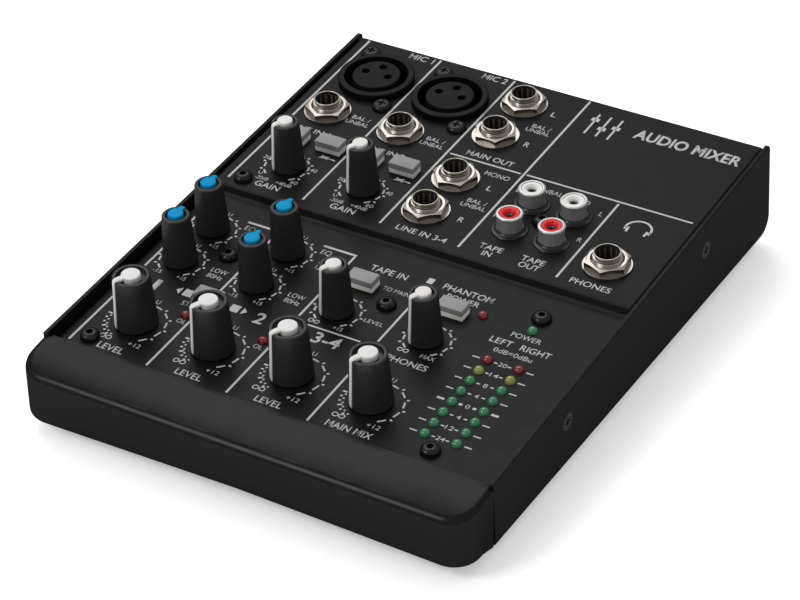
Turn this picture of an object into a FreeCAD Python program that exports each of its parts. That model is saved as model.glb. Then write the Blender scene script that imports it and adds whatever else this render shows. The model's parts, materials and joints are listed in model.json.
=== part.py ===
"""Compact four-channel audio mixing console, millimetres, +Z up.

The console is described in its panel frame: X to the right, Y to the rear along the sloping
panel, Z square to the panel, with Z = 0 on the face of the lower panel.  place() then leans the
whole thing back by PANEL_SLOPE, so that the underside is level and the rubber feet stand on Z = 0.
"""
import FreeCAD, Part
import math
import os
from FreeCAD import Vector

# ---- driving dimensions of the case -------------------------------------------------------
PANEL_SLOPE = 3.5                 # degrees between the panel and the underside
HALF_WIDTH = 77.8                 # outer faces of the side walls
WALL = 1.6                        # sheet of the lower case
SHEET = 1.2                       # sheet of the panel
STEP = 3.08                       # upper panel above lower panel
STEP_FRONT = 86.1                 # foot of the step between the two levels
STEP_REAR = 87.3                  # top of the step
LIP_TOP = 4.0                     # side walls stand a little above the upper panel
LIP_ROUND = 0.7                   # outside edges of the side walls
SIDE_FRONT = -3.9                 # front ends of the side walls
SIDE_REAR = 183.5                 # rear end of the lip
REAR_LEAN = 1.3                   # foot of the rear edge lies this much further back
PANEL_HALF = 75.5                 # half width of the panel, outside its folded flanges
PANEL_FRONT = -2.8
PANEL_REAR = 182.85
FLANGE_FOOT = -11.0               # lower edge of the panel's side and front flanges
REAR_FOOT = -23.5                 # lower edge of the panel's rear flange
FOLD_RADIUS = 1.2                 # outside radius of the folded edges
CORNER_RADIUS = 6.0               # lower rear corner of the case
BASE_AT_100 = -25.03              # underside of the case at Y = 100
FOOT_HEIGHT = 4.0
FOOT_RADIUS = 6.35

# ---- front bumper -------------------------------------------------------------------------
BUMPER_REAR = -3.0
BUMPER_FRONT = -19.95             # front ridge
BUMPER_TOP = 3.0
BUMPER_RIDGE = 0.2                # height of the front ridge
BUMPER_CORNER = 11.5              # plan radius of the front corners
BUMPER_SKIN = 2.4
RIDGE_RADIUS = 1.2
SOLE_RADIUS = 3.4

# ---- rows and columns of the controls -----------------------------------------------------
PITCH = 27.94                     # channel pitch, 1.1 in
LEVEL_X = -57.67
LEVEL_Y = 16.49
EQ_X = -63.13
EQ_LOW_Y = 49.2
EQ_HIGH_Y = 67.8
MAIN_X = 25.65
GAIN_X = -57.13
GAIN_Y = 104.3
TAPE_KNOB_X = -5.92
PHONES_KNOB_X = 25.36
OVERLOAD_X = -46.15
OVERLOAD_Y = 26.25
METER_X = (46.85, 57.49)
METER_Y = 11.04
METER_PITCH = 5.39
POWER_LAMP = (52.26, 67.23)
PHANTOM_LAMP = (35.2, 67.1)

# ---- knobs, buttons and lamps -------------------------------------------------------------
LARGE = dict(base=6.84, top=5.85, height=18.39)
SMALL = dict(base=5.53, top=4.49, height=17.98)
KNOB_GAP = 0.6                    # knob foot above the panel
HUB_RADIUS = {"large": 3.0, "small": 2.5}
HUB_RISE = 0.75                   # middle of the pointer above the rim of the knob
ARM_WIDTH = 2.2
RECESS = 1.3                      # depth of the dished top of a knob
RIM_WIDTH = 1.2
SHAFT_RADIUS = 3.0
SHAFT_FOOT = -6.0
RUNNING_GAP = 0.08                # radial clearance of shafts and pivots in their holes
BOARD_TOP = -8.0                  # upper face of the control board
BOARD_THICK = 1.6
BUTTON_X = 9.2
BUTTON_Y = 5.45
BUTTON_TOP = 3.5
BUTTON_GAP = 0.25
BUTTON_TRAVEL = 2.4
LAMP_RADIUS = 1.65

# ---- sockets ------------------------------------------------------------------------------
XLR_X = (-57.2, -28.7)
XLR_Y = 160.93
XLR_RIM = 12.97
XLR_BORE = 10.94
XLR_CORE = 8.2
XLR_CONTACT = 1.6                 # radius of the contact holes
XLR_RISE = 2.6
XLR_SCREW = (9.75, 13.2)          # screws lie on one diagonal of the socket
JACK_BORE = 3.25
JACK_NOSE = 5.6                   # nose above the panel
JACK_THREAD = (4.7, 4.1)          # radius of the threaded part and its height above the panel
JACK_LIP = 4.4                    # radius of the plain end of the nose
NUT_TOP = 3.0
NUT_FLATS = 13.0
JACKS = {
    "line_in_1": (-62.4, 137.6),
    "line_in_2": (-34.46, 137.6),
    "main_out_left": (-5.3, 169.6),
    "main_out_right": (-5.3, 149.7),
    "line_in_3": (-5.1, 122.5),
    "line_in_4": (-5.1, 103.1),
    "phones": (59.3, 103.15),
}
NUT_TURN = {                      # degrees from +X to a corner of each nut, as tightened
    "line_in_1": 28,
    "line_in_2": 25,
    "main_out_left": 32,
    "main_out_right": 58,
    "line_in_3": 11,
    "line_in_4": 40,
    "phones": 39,
}
RCA_X = (23.45, 38.35)
RCA_Y = (106.3, 121.3)
RCA_SHELL = 4.15
RCA_RISE = 6.6
JACK_BOARD_TOP = -20.0            # upper face of the jack board

# ---- rear flange --------------------------------------------------------------------------
INLET_AT = (46.0, -9.0)           # x, z of the power inlet
INLET_BODY = 7.0
INLET_BORE = 5.5
ROCKER_AT = (17.0, -9.0)          # x, z of the power switch
ROCKER_PIVOT_Y = PANEL_REAR - 5.7
ROCKER_TILT = 9.0                 # degrees either side of the middle
ROCKER_PIVOT_RADIUS = 1.0

SLOPE = math.radians(PANEL_SLOPE)
UP = Vector(0, 0, 1)


def base_z(y):
    """Height of the underside of the case, in the panel frame."""
    return BASE_AT_100 - math.tan(SLOPE) * (y - 100.0)


# ---- small solid helpers ------------------------------------------------------------------
def box(x0, x1, y0, y1, z0, z1):
    return Part.makeBox(x1 - x0, y1 - y0, z1 - z0, Vector(x0, y0, z0))


def rod(x, y, z0, z1, radius):
    return Part.makeCylinder(radius, z1 - z0, Vector(x, y, z0), UP)


def cone(x, y, z0, z1, r0, r1):
    return Part.makeCone(r0, r1, z1 - z0, Vector(x, y, z0), UP)


def prism_x(points, x0, x1):
    """A polygon of (y, z) points drawn out along X."""
    ring = [Vector(x0, y, z) for y, z in points]
    face = Part.Face(Part.makePolygon(ring + ring[:1]))
    return face.extrude(Vector(x1 - x0, 0, 0))


def hex_prism(x, y, z0, z1, across_flats, turn=0):
    reach = across_flats / math.sqrt(3.0)
    ring = []
    for corner in range(6):
        angle = math.radians(60 * corner + turn)
        ring.append(Vector(x + reach * math.cos(angle), y + reach * math.sin(angle), z0))
    face = Part.Face(Part.makePolygon(ring + ring[:1]))
    return face.extrude(Vector(0, 0, z1 - z0))


def fuse(shapes):
    return shapes[0].multiFuse(shapes[1:]).removeSplitter()


def edges_where(shape, test):
    """Edges whose middle point passes the test."""
    found = []
    for edge in shape.Edges:
        middle = edge.valueAt((edge.FirstParameter + edge.LastParameter) / 2.0)
        if test(middle, edge):
            found.append(edge)
    return found


def runs_along(edge, axis):
    ends = [v.Point for v in edge.Vertexes]
    if len(ends) < 2:
        return False
    span = ends[1] - ends[0]
    return abs(abs(span.normalize().dot(axis)) - 1.0) < 1e-4


# ---- placing and saving -------------------------------------------------------------------
def rear_edge(z):
    """Y of the rear edge of the side walls at height z."""
    return SIDE_REAR + REAR_LEAN * (LIP_TOP - z) / 30.0


FRONT_MOST = BUMPER_FRONT * math.cos(SLOPE) - BUMPER_RIDGE * math.sin(SLOPE)
REAR_MOST = rear_edge(-23.0) * math.cos(SLOPE) + 23.0 * math.sin(SLOPE)
SHIFT_Y = -(FRONT_MOST + REAR_MOST) / 2.0
SHIFT_Z = FOOT_HEIGHT - (100.0 * math.sin(SLOPE) + BASE_AT_100 * math.cos(SLOPE))
LEAN = FreeCAD.Matrix()
LEAN.rotateX(SLOPE)
LEAN.move(Vector(0, SHIFT_Y, SHIFT_Z))


def place(shape):
    return shape.copy().transformShape(LEAN, True)


def save(name, solids, placed=True):
    """Write one node.  A list holds separate solids of the same kind."""
    items = solids if isinstance(solids, list) else [solids]
    items = [place(item) if placed else item for item in items]
    loose = [solid for item in items for solid in item.Solids]
    shape = loose[0] if len(loose) == 1 else Part.makeCompound(loose)
    shape.exportStep("parts/%s.step" % name)
    print("%-24s %3d solid(s) %10.1f mm3 valid %s" % (name, len(loose), shape.Volume, shape.isValid()))


# ---- positions worked out from the driving dimensions ---------------------------------------
def knob_table():
    """name: (x, y, panel height, size, rest angle of the pointer, clockwise from the rear)"""
    knobs = {}
    for index, name in enumerate(("level_1", "level_2", "level_3_4")):
        knobs[name] = (LEVEL_X + index * PITCH, LEVEL_Y, 0.0, "large", 210.0)
    knobs["main_mix"] = (MAIN_X, LEVEL_Y, 0.0, "large", 210.0)
    for index, channel in enumerate(("1", "2")):
        shift = index * (PITCH + 0.19)
        knobs["gain_" + channel] = (GAIN_X + shift, GAIN_Y, STEP, "small", 210.0)
        knobs["eq_high_" + channel] = (EQ_X + shift, EQ_HIGH_Y, 0.0, "small", 0.0)
        knobs["eq_low_" + channel] = (EQ_X + shift, EQ_LOW_Y, 0.0, "small", 0.0)
    knobs["tape_level"] = (TAPE_KNOB_X, EQ_LOW_Y, 0.0, "small", 210.0)
    knobs["phones_level"] = (PHONES_KNOB_X, EQ_LOW_Y, 0.0, "small", 210.0)
    return knobs


def button_table():
    """name: (x, y, panel height)"""
    return {
        "low_cut_1": (-64.0, 119.5, STEP),
        "low_cut_2": (-35.95, 119.5, STEP),
        "instrument_1": (-50.2, 119.5, STEP),
        "instrument_2": (-22.25, 119.5, STEP),
        "stereo_pan": (-43.5, 35.6, 0.0),
        "tape_to_main": (-5.6, 64.6, 0.0),
        "phantom_power": (26.15, 64.75, 0.0),
    }


def lamp_table():
    """colour: list of (x, y)"""
    green = [POWER_LAMP]
    yellow = []
    red = [PHANTOM_LAMP, (OVERLOAD_X, OVERLOAD_Y), (OVERLOAD_X + PITCH, OVERLOAD_Y)]
    for x in METER_X:
        for row in range(8):
            spot = (x, METER_Y + row * METER_PITCH)
            if row < 6:
                green.append(spot)
            elif row == 6:
                yellow.append(spot)
            else:
                red.append(spot)
    return {"green": green, "yellow": yellow, "red": red}


KNOBS = knob_table()
BUTTONS = button_table()
LAMPS = lamp_table()
PANEL_SCREWS = [
    (-66.62, 4.38, 0.0),
    (52.19, 4.96, 0.0),
    (-50.61, 57.7, 0.0),
    (6.34, 58.39, 0.0),
    (52.06, 73.57, 0.0),
    (-67.05, 92.3, STEP),
    (30.9, 113.8, STEP),
]
SIDE_SCREWS = [(135.3, -6.2), (41.0, -6.1)]
BUMPER_SCREWS = [(-48.0, 1.5), (48.0, 1.5)]


def xlr_screws():
    spots = []
    for x in XLR_X:
        spots.append((x - XLR_SCREW[0], XLR_Y + XLR_SCREW[1]))
        spots.append((x + XLR_SCREW[0], XLR_Y - XLR_SCREW[1]))
    return spots


# ---- case ---------------------------------------------------------------------------------
def side_outline(inset):
    """Side view of the lower case as (y, z) points, before the rear corner is rounded."""
    foot = base_z(SIDE_FRONT) + inset / math.cos(SLOPE)
    low_y = rear_edge(-28.0) - inset
    return [
        (SIDE_FRONT, LIP_TOP),
        (SIDE_FRONT, foot),
        (low_y, base_z(low_y) + inset / math.cos(SLOPE)),
        (rear_edge(LIP_TOP) - inset, LIP_TOP),
    ]


def chassis_tray():
    """Floor, side walls with their lips, and an upturned rear edge, folded from one sheet."""
    along_x = Vector(1, 0, 0)
    outer = prism_x(side_outline(0.0), -HALF_WIDTH, HALF_WIDTH)
    corner = edges_where(outer, lambda m, e: runs_along(e, along_x) and m.z < -20 and m.y > 100)
    outer = outer.makeFillet(CORNER_RADIUS, corner)
    rear_top = edges_where(outer, lambda m, e: runs_along(e, along_x) and m.z > 3 and m.y > 100)
    outer = outer.makeFillet(1.2, rear_top)

    def outside_edge(m, e):
        on_side = abs(abs(m.x) - HALF_WIDTH) < 0.01
        return on_side and m.y > SIDE_FRONT + 0.01

    outer = outer.makeFillet(LIP_ROUND, edges_where(outer, outside_edge))
    inner_half = HALF_WIDTH - WALL
    inner = prism_x(side_outline(WALL), -inner_half, inner_half)
    corner = edges_where(inner, lambda m, e: runs_along(e, along_x) and m.z < -20 and m.y > 100)
    inner = inner.makeFillet(CORNER_RADIUS - WALL, corner)
    opening = box(-inner_half, inner_half, -30, 170, -15, 20)
    mouth = box(-inner_half, inner_half, SIDE_FRONT - 5, SIDE_FRONT + 5, -15, 20)
    above_rear = box(-inner_half, inner_half, 100, 200, -19.5, 20)
    tray = outer.cut(fuse([inner, opening, mouth, above_rear]))
    cuts = []
    for side in (-1, 1):
        for y, z in SIDE_SCREWS:
            start = Vector(side * (HALF_WIDTH + 0.01), y, z)
            inwards = Vector(-side, 0, 0)
            cuts.append(Part.makeCylinder(1.6, 4.0, start, inwards))
            cuts.append(Part.makeCone(3.0, 1.6, 1.4, start, inwards))
    for x, y in BUMPER_SCREWS:
        cuts.append(rod(x, y, -40, 0, 1.6))
        cuts.append(bumper_screw_cone(x, y, 0.0))
    return tray.cut(fuse(cuts))


def bumper_screw_cone(x, y, slack):
    """Countersink or screw head under the floor, square to the underside."""
    down = Vector(0, -math.sin(SLOPE), -math.cos(SLOPE))
    mouth = Vector(x, y, base_z(y)) + down * 0.01
    return Part.makeCone(3.0 - slack, 1.6 - slack, 1.4 - slack, mouth, down * -1.0)


def panel_outline(inset, low):
    """Side view of the panel sheet as (y, z) points, closed along a low line."""
    return [
        (PANEL_FRONT + inset, low),
        (PANEL_FRONT + inset, -inset),
        (STEP_FRONT + inset * 0.6, -inset),
        (STEP_REAR + inset * 0.6, STEP - inset),
        (PANEL_REAR - inset, STEP - inset),
        (PANEL_REAR - inset, low),
    ]


def panel_holes():
    holes = []
    for x, y, level, size, rest in KNOBS.values():
        holes.append(rod(x, y, level - 3, level + 3, 3.7))
    for x, y, level in BUTTONS.values():
        half_x = BUTTON_X / 2 + BUTTON_GAP
        half_y = BUTTON_Y / 2 + BUTTON_GAP
        holes.append(box(x - half_x, x + half_x, y - half_y, y + half_y, level - 3, level + 3))
    for spots in LAMPS.values():
        for x, y in spots:
            holes.append(rod(x, y, -3, 3, LAMP_RADIUS + 0.06))
    for x, y, level in PANEL_SCREWS:
        holes.append(rod(x, y, level - 3, level + 3, 1.6))
    for x, y in xlr_screws():
        holes.append(rod(x, y, STEP - 3, STEP + 3, 1.6))
    for x in XLR_X:
        holes.append(rod(x, XLR_Y, STEP - 3, STEP + 3, 12.0))
    for x, y in JACKS.values():
        holes.append(rod(x, y, STEP - 3, STEP + 3, 4.85))
    for x in RCA_X:
        for y in RCA_Y:
            holes.append(rod(x, y, STEP - 3, STEP + 3, 6.05))
    along_y = Vector(0, 1, 0)
    x, z = INLET_AT
    holes.append(Part.makeCylinder(INLET_BODY + 0.1, 20, Vector(x, PANEL_REAR - 10, z), along_y))
    x, z = ROCKER_AT
    holes.append(box(x - 9.6, x + 9.6, PANEL_REAR - 10, PANEL_REAR + 5, z - 6.1, z + 6.1))
    for side in (-1, 1):
        for y, z in SIDE_SCREWS:
            start = Vector(side * (PANEL_HALF - 4), y, z)
            holes.append(Part.makeCylinder(1.5, 8, start, Vector(side, 0, 0)))
    return holes


def top_panel():
    """Stepped panel with folded side, front and rear flanges and every hole in it."""
    along_x = Vector(1, 0, 0)
    outer = prism_x(panel_outline(0.0, REAR_FOOT), -PANEL_HALF, PANEL_HALF)

    def cross_fold(m, e):
        return runs_along(e, along_x) and m.z > -1

    outer = outer.makeFillet(FOLD_RADIUS, edges_where(outer, cross_fold))

    def side_fold(m, e):
        top = m.z > -0.5 and m.y < 182.5 and not runs_along(e, along_x)
        return top and abs(abs(m.x) - PANEL_HALF) < 0.01 and m.y > -2.5

    outer = outer.makeFillet(0.8, edges_where(outer, side_fold))
    inner_half = PANEL_HALF - SHEET
    inner = prism_x(panel_outline(SHEET, REAR_FOOT - 5), -inner_half, inner_half)
    trim = box(-80, 80, -10, PANEL_REAR - 4, REAR_FOOT - 5, FLANGE_FOOT)
    return outer.cut(fuse([inner, trim])).cut(fuse(panel_holes()))


BUMPER_UPRIGHT = Vector(0, math.sin(SLOPE), math.cos(SLOPE))


def bumper_block(inset):
    """Body of the bumper, drawn in by inset on its outer faces."""
    top_mid_y = (BUMPER_REAR + BUMPER_FRONT) / 2
    rise = BUMPER_TOP - BUMPER_RIDGE
    depth = BUMPER_REAR - BUMPER_FRONT
    arc_radius = (depth ** 2 + rise ** 2) / (2 * rise)
    centre_z = BUMPER_TOP - arc_radius
    top_mid_z = centre_z + math.sqrt(arc_radius ** 2 - (top_mid_y - BUMPER_REAR) ** 2)
    drop = BUMPER_RIDGE - base_z(BUMPER_FRONT)
    foot_y = BUMPER_FRONT - drop * math.tan(SLOPE)
    a = Vector(0, BUMPER_REAR + 2, BUMPER_TOP - inset)
    b = Vector(0, BUMPER_REAR, BUMPER_TOP - inset)
    mid = Vector(0, top_mid_y + inset * 0.16, top_mid_z - inset)
    c = Vector(0, BUMPER_FRONT + inset, BUMPER_RIDGE - inset * 0.72)
    d = Vector(0, foot_y + inset, base_z(foot_y) + inset)
    e = Vector(0, BUMPER_REAR + 2, base_z(BUMPER_REAR + 2) + inset)
    wire = Part.Wire([
        Part.makeLine(a, b),
        Part.Arc(b, mid, c).toShape(),
        Part.makeLine(c, d),
        Part.makeLine(d, e),
        Part.makeLine(e, a),
    ])
    half = HALF_WIDTH - inset
    block = Part.Face(wire).extrude(Vector(2 * half, 0, 0))
    block.translate(Vector(-half, 0, 0))
    radius = BUMPER_CORNER - inset
    front = BUMPER_FRONT + inset
    plan = box(-half, half, front, 30, -60, 30)
    corners = edges_where(plan, lambda m, e: runs_along(e, UP) and m.y < 0)
    plan = plan.makeFillet(radius, corners)
    plan.rotate(Vector(0, front, BUMPER_RIDGE), Vector(1, 0, 0), -PANEL_SLOPE)
    return block.common(plan)


def front_bumper():
    """Moulded front bumper, open at the back, with two screw lugs over the floor of the case."""
    body = bumper_block(0.0)

    def ridge(m, e):
        return m.y < -4 and m.z > -1.5 and e.Length > 0.5 and not runs_along(e, BUMPER_UPRIGHT)

    def sole(m, e):
        return m.y < -4 and m.z < -14 and not runs_along(e, BUMPER_UPRIGHT)

    body = body.makeFillet(RIDGE_RADIUS, edges_where(body, ridge))
    body = body.makeFillet(SOLE_RADIUS, edges_where(body, sole))
    cuts = [bumper_block(BUMPER_SKIN)]
    cuts.append(box(-90, 90, BUMPER_REAR, 5, -40, 10))
    for side in (-1, 1):
        x0, x1 = sorted((side * 75.9, side * 90))
        cuts.append(box(x0, x1, SIDE_FRONT - 0.15, 5, -40, 10))
        cuts.append(rod(side * 75.7, SIDE_FRONT + 0.3, 0.5, 10, 0.75))
    step = base_z(SIDE_FRONT) + WALL + 0.2
    cuts.append(box(-75.95, 75.95, SIDE_FRONT - 0.15, 5, -40, step))
    body = body.cut(fuse(cuts))
    lugs = []
    for x, y in BUMPER_SCREWS:
        floor = base_z(y + 4) + WALL + 0.75
        lug = prism_x([
            (BUMPER_FRONT + 1.5, floor + 1.0),
            (y + 5, base_z(y + 5) + WALL / math.cos(SLOPE)),
            (y + 5, base_z(y + 5) + WALL + 5),
            (BUMPER_FRONT + 1.5, base_z(y + 5) + WALL + 5),
        ], x - 5, x + 5)
        lugs.append(lug.cut(rod(x, y, -30, -10, 1.2)))
    return body, lugs


def rubber_feet():
    """Four bonded feet; these stand square to the floor, so they are built in place."""
    feet = []
    for x in (-60, 60):
        for y in (12.0, 168.0):
            centre_y = y * math.cos(SLOPE) - base_z(y) * math.sin(SLOPE) + SHIFT_Y
            foot = Part.makeCone(FOOT_RADIUS - 0.6, FOOT_RADIUS, FOOT_HEIGHT, Vector(x, centre_y, 0), UP)
            low = edges_where(foot, lambda m, e: m.z < 0.01)
            feet.append(foot.makeFillet(0.8, low))
    return feet


# ---- circuit boards and what is under the panel ---------------------------------------------
def control_board():
    """Board behind the lower panel, with a tongue that reaches back under the gain controls."""
    low = BOARD_TOP - BOARD_THICK
    front = box(-73.5, 73.5, 0.5, 89.5, low, BOARD_TOP)
    tongue = box(-73.5, -15.0, 89.0, 126.5, low, BOARD_TOP)
    board = fuse([front, tongue])
    holes = []
    for x, y, level in PANEL_SCREWS[:6]:
        holes.append(rod(x, y, low - 1, BOARD_TOP + 1, 1.2))
    return board.cut(fuse(holes))


def jack_board():
    low = JACK_BOARD_TOP - BOARD_THICK
    board = box(-73.5, 73.5, 93.5, 178.5, low, JACK_BOARD_TOP)
    holes = []
    for x, y in JACKS.values():
        holes.append(rod(x, y, low - 1, JACK_BOARD_TOP + 1, 3.6))
    x, y, level = PANEL_SCREWS[6]
    holes.append(rod(x, y, low - 1, JACK_BOARD_TOP + 1, 1.2))
    return board.cut(fuse(holes))


def ribbon_cable():
    """Flat ribbon between the underside of the control board and the top of the jack board."""
    half = 12.0
    x = 38.0
    low = BOARD_TOP - BOARD_THICK
    plug_a = box(x - half - 1, x + half + 1, 80.0, 86.0, low - 3.5, low)
    plug_b = box(x - half - 1, x + half + 1, 94.2, 98.8, JACK_BOARD_TOP, JACK_BOARD_TOP + 3.5)
    strip = prism_x([
        (85.9, low - 3.0),
        (89.0, low - 3.0),
        (92.6, JACK_BOARD_TOP + 2.6),
        (94.3, JACK_BOARD_TOP + 2.6),
        (94.3, JACK_BOARD_TOP + 3.3),
        (93.0, JACK_BOARD_TOP + 3.3),
        (89.4, low - 2.3),
        (85.9, low - 2.3),
    ], x - half, x + half)
    return fuse([plug_a, strip, plug_b])


def filter_capacitors():
    """Can capacitors of the supply, standing on the jack board."""
    cans = []
    for x, y in ((34.0, 146.0), (47.0, 146.0), (60.0, 146.0), (60.0, 158.0)):
        can = rod(x, y, JACK_BOARD_TOP, JACK_BOARD_TOP + 15.5, 5.0)
        rim = edges_where(can, lambda m, e: m.z > JACK_BOARD_TOP + 1)
        cans.append(can.makeFillet(0.6, rim))
    return cans


def pot_bodies():
    """Potentiometer cases with their bushings; the ones under the upper panel stand taller."""
    cases = []
    for x, y, level, size, rest in KNOBS.values():
        top = level - 3.0
        case = box(x - 4.9, x + 4.9, y - 5.4, y + 5.4, BOARD_TOP, top)
        collar = rod(x, y, top, level - SHEET - 0.1, 3.55)
        bore = rod(x, y, level + SHAFT_FOOT - 0.4, level + 5, SHAFT_RADIUS + RUNNING_GAP)
        cases.append(fuse([case, collar]).cut(bore))
    return cases


def switch_bodies():
    """Push-switch cases under the seven buttons."""
    cases = []
    for x, y, level in BUTTONS.values():
        case = box(x - 3.7, x + 3.7, y - 3.7, y + 3.7, BOARD_TOP, level - 5.0)
        cases.append(case.cut(box(x - 1.4, x + 1.4, y - 1.4, y + 1.4, BOARD_TOP, level + 5)))
    return cases


def lamps(spots):
    """Round 3 mm lamps: dome, body, collar and two leads down to the board."""
    found = []
    for x, y in spots:
        dome = Part.makeSphere(LAMP_RADIUS, Vector(x, y, 0))
        body = rod(x, y, -3.4, 0, LAMP_RADIUS)
        collar = rod(x, y, -3.4, -2.6, LAMP_RADIUS + 0.3)
        lead_a = box(x - 1.0, x - 0.5, y - 0.25, y + 0.25, BOARD_TOP, -3.3)
        lead_b = box(x + 0.5, x + 1.0, y - 0.25, y + 0.25, BOARD_TOP, -3.3)
        lens = dome.common(box(x - 2, x + 2, y - 2, y + 2, 0, 3))
        found.append(fuse([lens, body, collar, lead_a, lead_b]))
    return found


# ---- knobs ----------------------------------------------------------------------------------
def knob_frame(x, y, level, rest):
    """Transform from a knob drawn with its pointer to the rear into its place on the panel."""
    move = FreeCAD.Matrix()
    move.rotateZ(-math.radians(rest))
    move.move(Vector(x, y, level))
    return move


def knob_pointer(size, spec):
    """Light insert: hub disc, an arm over the rim and a stripe down the flank, pointer to +Y."""
    base, top, height = spec["base"], spec["top"], spec["height"]
    hub = rod(0, 0, height - 2.4, height + HUB_RISE, HUB_RADIUS[size])
    rim = edges_where(hub, lambda m, e: m.z > height)
    hub = hub.makeFillet(0.5, rim)
    half = ARM_WIDTH / 2
    proud = 0.25
    arm = prism_x([
        (0.0, height - 1.6),
        (top - 0.9, height - 1.6),
        (top + proud, height - 0.9),
        (top + proud, height - 0.1),
        (top - 0.1, height + 0.35),
        (0.0, height + 0.6),
    ], -half, half)
    taper = (base - top) / (height - KNOB_GAP)

    def flank(z):
        return top + taper * (height - z)

    stripe = prism_x([
        (flank(0.7) - 0.75, 0.7),
        (flank(0.7) + 0.05, 0.7),
        (flank(1.6) + 0.5, 1.6),
        (flank(4.0) + 0.7, 4.0),
        (top + proud, height - 0.9),
        (top - 0.75, height - 0.9),
    ], -half, half)
    return fuse([hub, arm, stripe])


def knob_body(spec, pointer):
    """Tapered knob with a dished top, grooved for its insert."""
    base, top, height = spec["base"], spec["top"], spec["height"]
    body = cone(0, 0, KNOB_GAP, height, base, top)
    rim = edges_where(body, lambda m, e: m.z > height - 0.01)
    body = body.makeFillet(0.35, rim)
    dish = rod(0, 0, height - RECESS, height + 1, top - RIM_WIDTH)
    blind_hole = rod(0, 0, KNOB_GAP - 1, height - 4.5, SHAFT_RADIUS)
    hollow = rod(0, 0, KNOB_GAP - 1, 4.0, base - 1.3)
    return body.cut(fuse([dish, blind_hole, hollow, pointer]))


def knob_shaft(spec):
    """Control shaft, with the flat that keys it to the knob."""
    return rod(0, 0, SHAFT_FOOT, spec["height"] - 4.5, SHAFT_RADIUS)


def write_knobs():
    for name, (x, y, level, size, rest) in KNOBS.items():
        spec = LARGE if size == "large" else SMALL
        move = knob_frame(x, y, level, rest)
        pointer = knob_pointer(size, spec)
        body = knob_body(spec, pointer)
        shaft = knob_shaft(spec)
        seated = [body.transformShape(move, True), shaft.transformShape(move, True)]
        save("knob_" + name, seated)
        save("pointer_" + name, pointer.transformShape(move, True))


# ---- buttons --------------------------------------------------------------------------------
def button(x, y, level):
    """Rectangular push button with a crowned top and a plunger into its switch."""
    half_x = BUTTON_X / 2
    half_y = BUTTON_Y / 2
    cap = box(x - half_x, x + half_x, y - half_y, y + half_y, level - 2.0, level + BUTTON_TOP)
    upper = edges_where(cap, lambda m, e: m.z > level + BUTTON_TOP - 0.01)
    cap = cap.makeFillet(0.3, upper)
    plunger = box(x - 1.2, x + 1.2, y - 1.2, y + 1.2, level - 5.5, level - 1.9)
    return fuse([cap, plunger])


# ---- sockets --------------------------------------------------------------------------------
def xlr_shells():
    shells = []
    for x in XLR_X:
        rim = rod(x, XLR_Y, STEP, STEP + XLR_RISE, XLR_RIM)
        upper = edges_where(rim, lambda m, e: m.z > STEP + XLR_RISE - 0.01)
        rim = rim.makeFillet(0.5, upper)
        barrel = rod(x, XLR_Y, JACK_BOARD_TOP, STEP, 11.9)
        ears = [ear(x, 1), ear(x, -1)]
        shell = fuse([rim, barrel] + ears)
        bore = rod(x, XLR_Y, -13.0, STEP + XLR_RISE + 1, XLR_BORE)
        screw_holes = []
        for side in (-1, 1):
            hole_x = x - side * XLR_SCREW[0]
            screw_holes.append(rod(hole_x, XLR_Y + side * XLR_SCREW[1], -5, STEP, 1.3))
        shells.append(shell.cut(fuse([bore] + screw_holes)))
    return shells


def ear(x, side):
    """Lug under the panel that takes one fixing screw of a microphone socket."""
    end_x = x - side * XLR_SCREW[0]
    end_y = XLR_Y + side * XLR_SCREW[1]
    top = STEP - SHEET
    along = Vector(end_x - x, end_y - XLR_Y, 0)
    across = Vector(-along.y, along.x, 0).normalize() * 3.0
    start = Vector(x, XLR_Y, top - 2.5) + along * 0.6
    end = Vector(end_x, end_y, top - 2.5)
    web = Part.Face(Part.makePolygon([
        start + across, end + across, end - across, start - across, start + across
    ])).extrude(Vector(0, 0, 2.5))
    return web.fuse(rod(end_x, end_y, top - 2.5, top, 3.0))


def xlr_inserts():
    """Insulating cores with the three contact holes and the keyway of the sockets."""
    cores = []
    for x in XLR_X:
        top = STEP + XLR_RISE
        core = rod(x, XLR_Y, -13.0, top, XLR_CORE)
        core = core.makeFillet(0.5, edges_where(core, lambda m, e: m.z > top - 0.01))
        holes = []
        for dx, dy in ((-4.3, 0.3), (0.0, 4.8), (4.3, 0.3)):
            holes.append(rod(x + dx, XLR_Y + dy, top - 12, top + 1, XLR_CONTACT))
            holes.append(cone(x + dx, XLR_Y + dy, top - 0.3, top, XLR_CONTACT, XLR_CONTACT + 0.3))
        cores.append(core.cut(fuse(holes)))
    return cores


def domed_screw(x, y, level, radius, rise, length, drive):
    """Pan-head screw standing on the panel, its shank going down."""
    head = rod(x, y, level, level + rise, radius)
    head = head.makeFillet(rise * 0.8, edges_where(head, lambda m, e: m.z > level + rise - 0.01))
    shank = rod(x, y, level - length, level, 1.25)
    return fuse([head, shank]).cut(drive)


def panel_screws():
    """Button-head screws with a six-sided socket."""
    screws = []
    for x, y, level in PANEL_SCREWS:
        drive = hex_prism(x, y, level + 0.9, level + 3, 2.2)
        screws.append(domed_screw(x, y, level, 3.15, 2.2, 5.5, drive))
    return screws


def cross_slot(x, y, low, high):
    return fuse([
        box(x - 1.6, x + 1.6, y - 0.35, y + 0.35, low, high),
        box(x - 0.35, x + 0.35, y - 1.6, y + 1.6, low, high),
    ])


def xlr_screw_set():
    screws = []
    for x, y in xlr_screws():
        drive = cross_slot(x, y, STEP + 0.6, STEP + 3)
        screws.append(domed_screw(x, y, STEP, 3.35, 1.9, 3.5, drive))
    return screws


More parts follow.
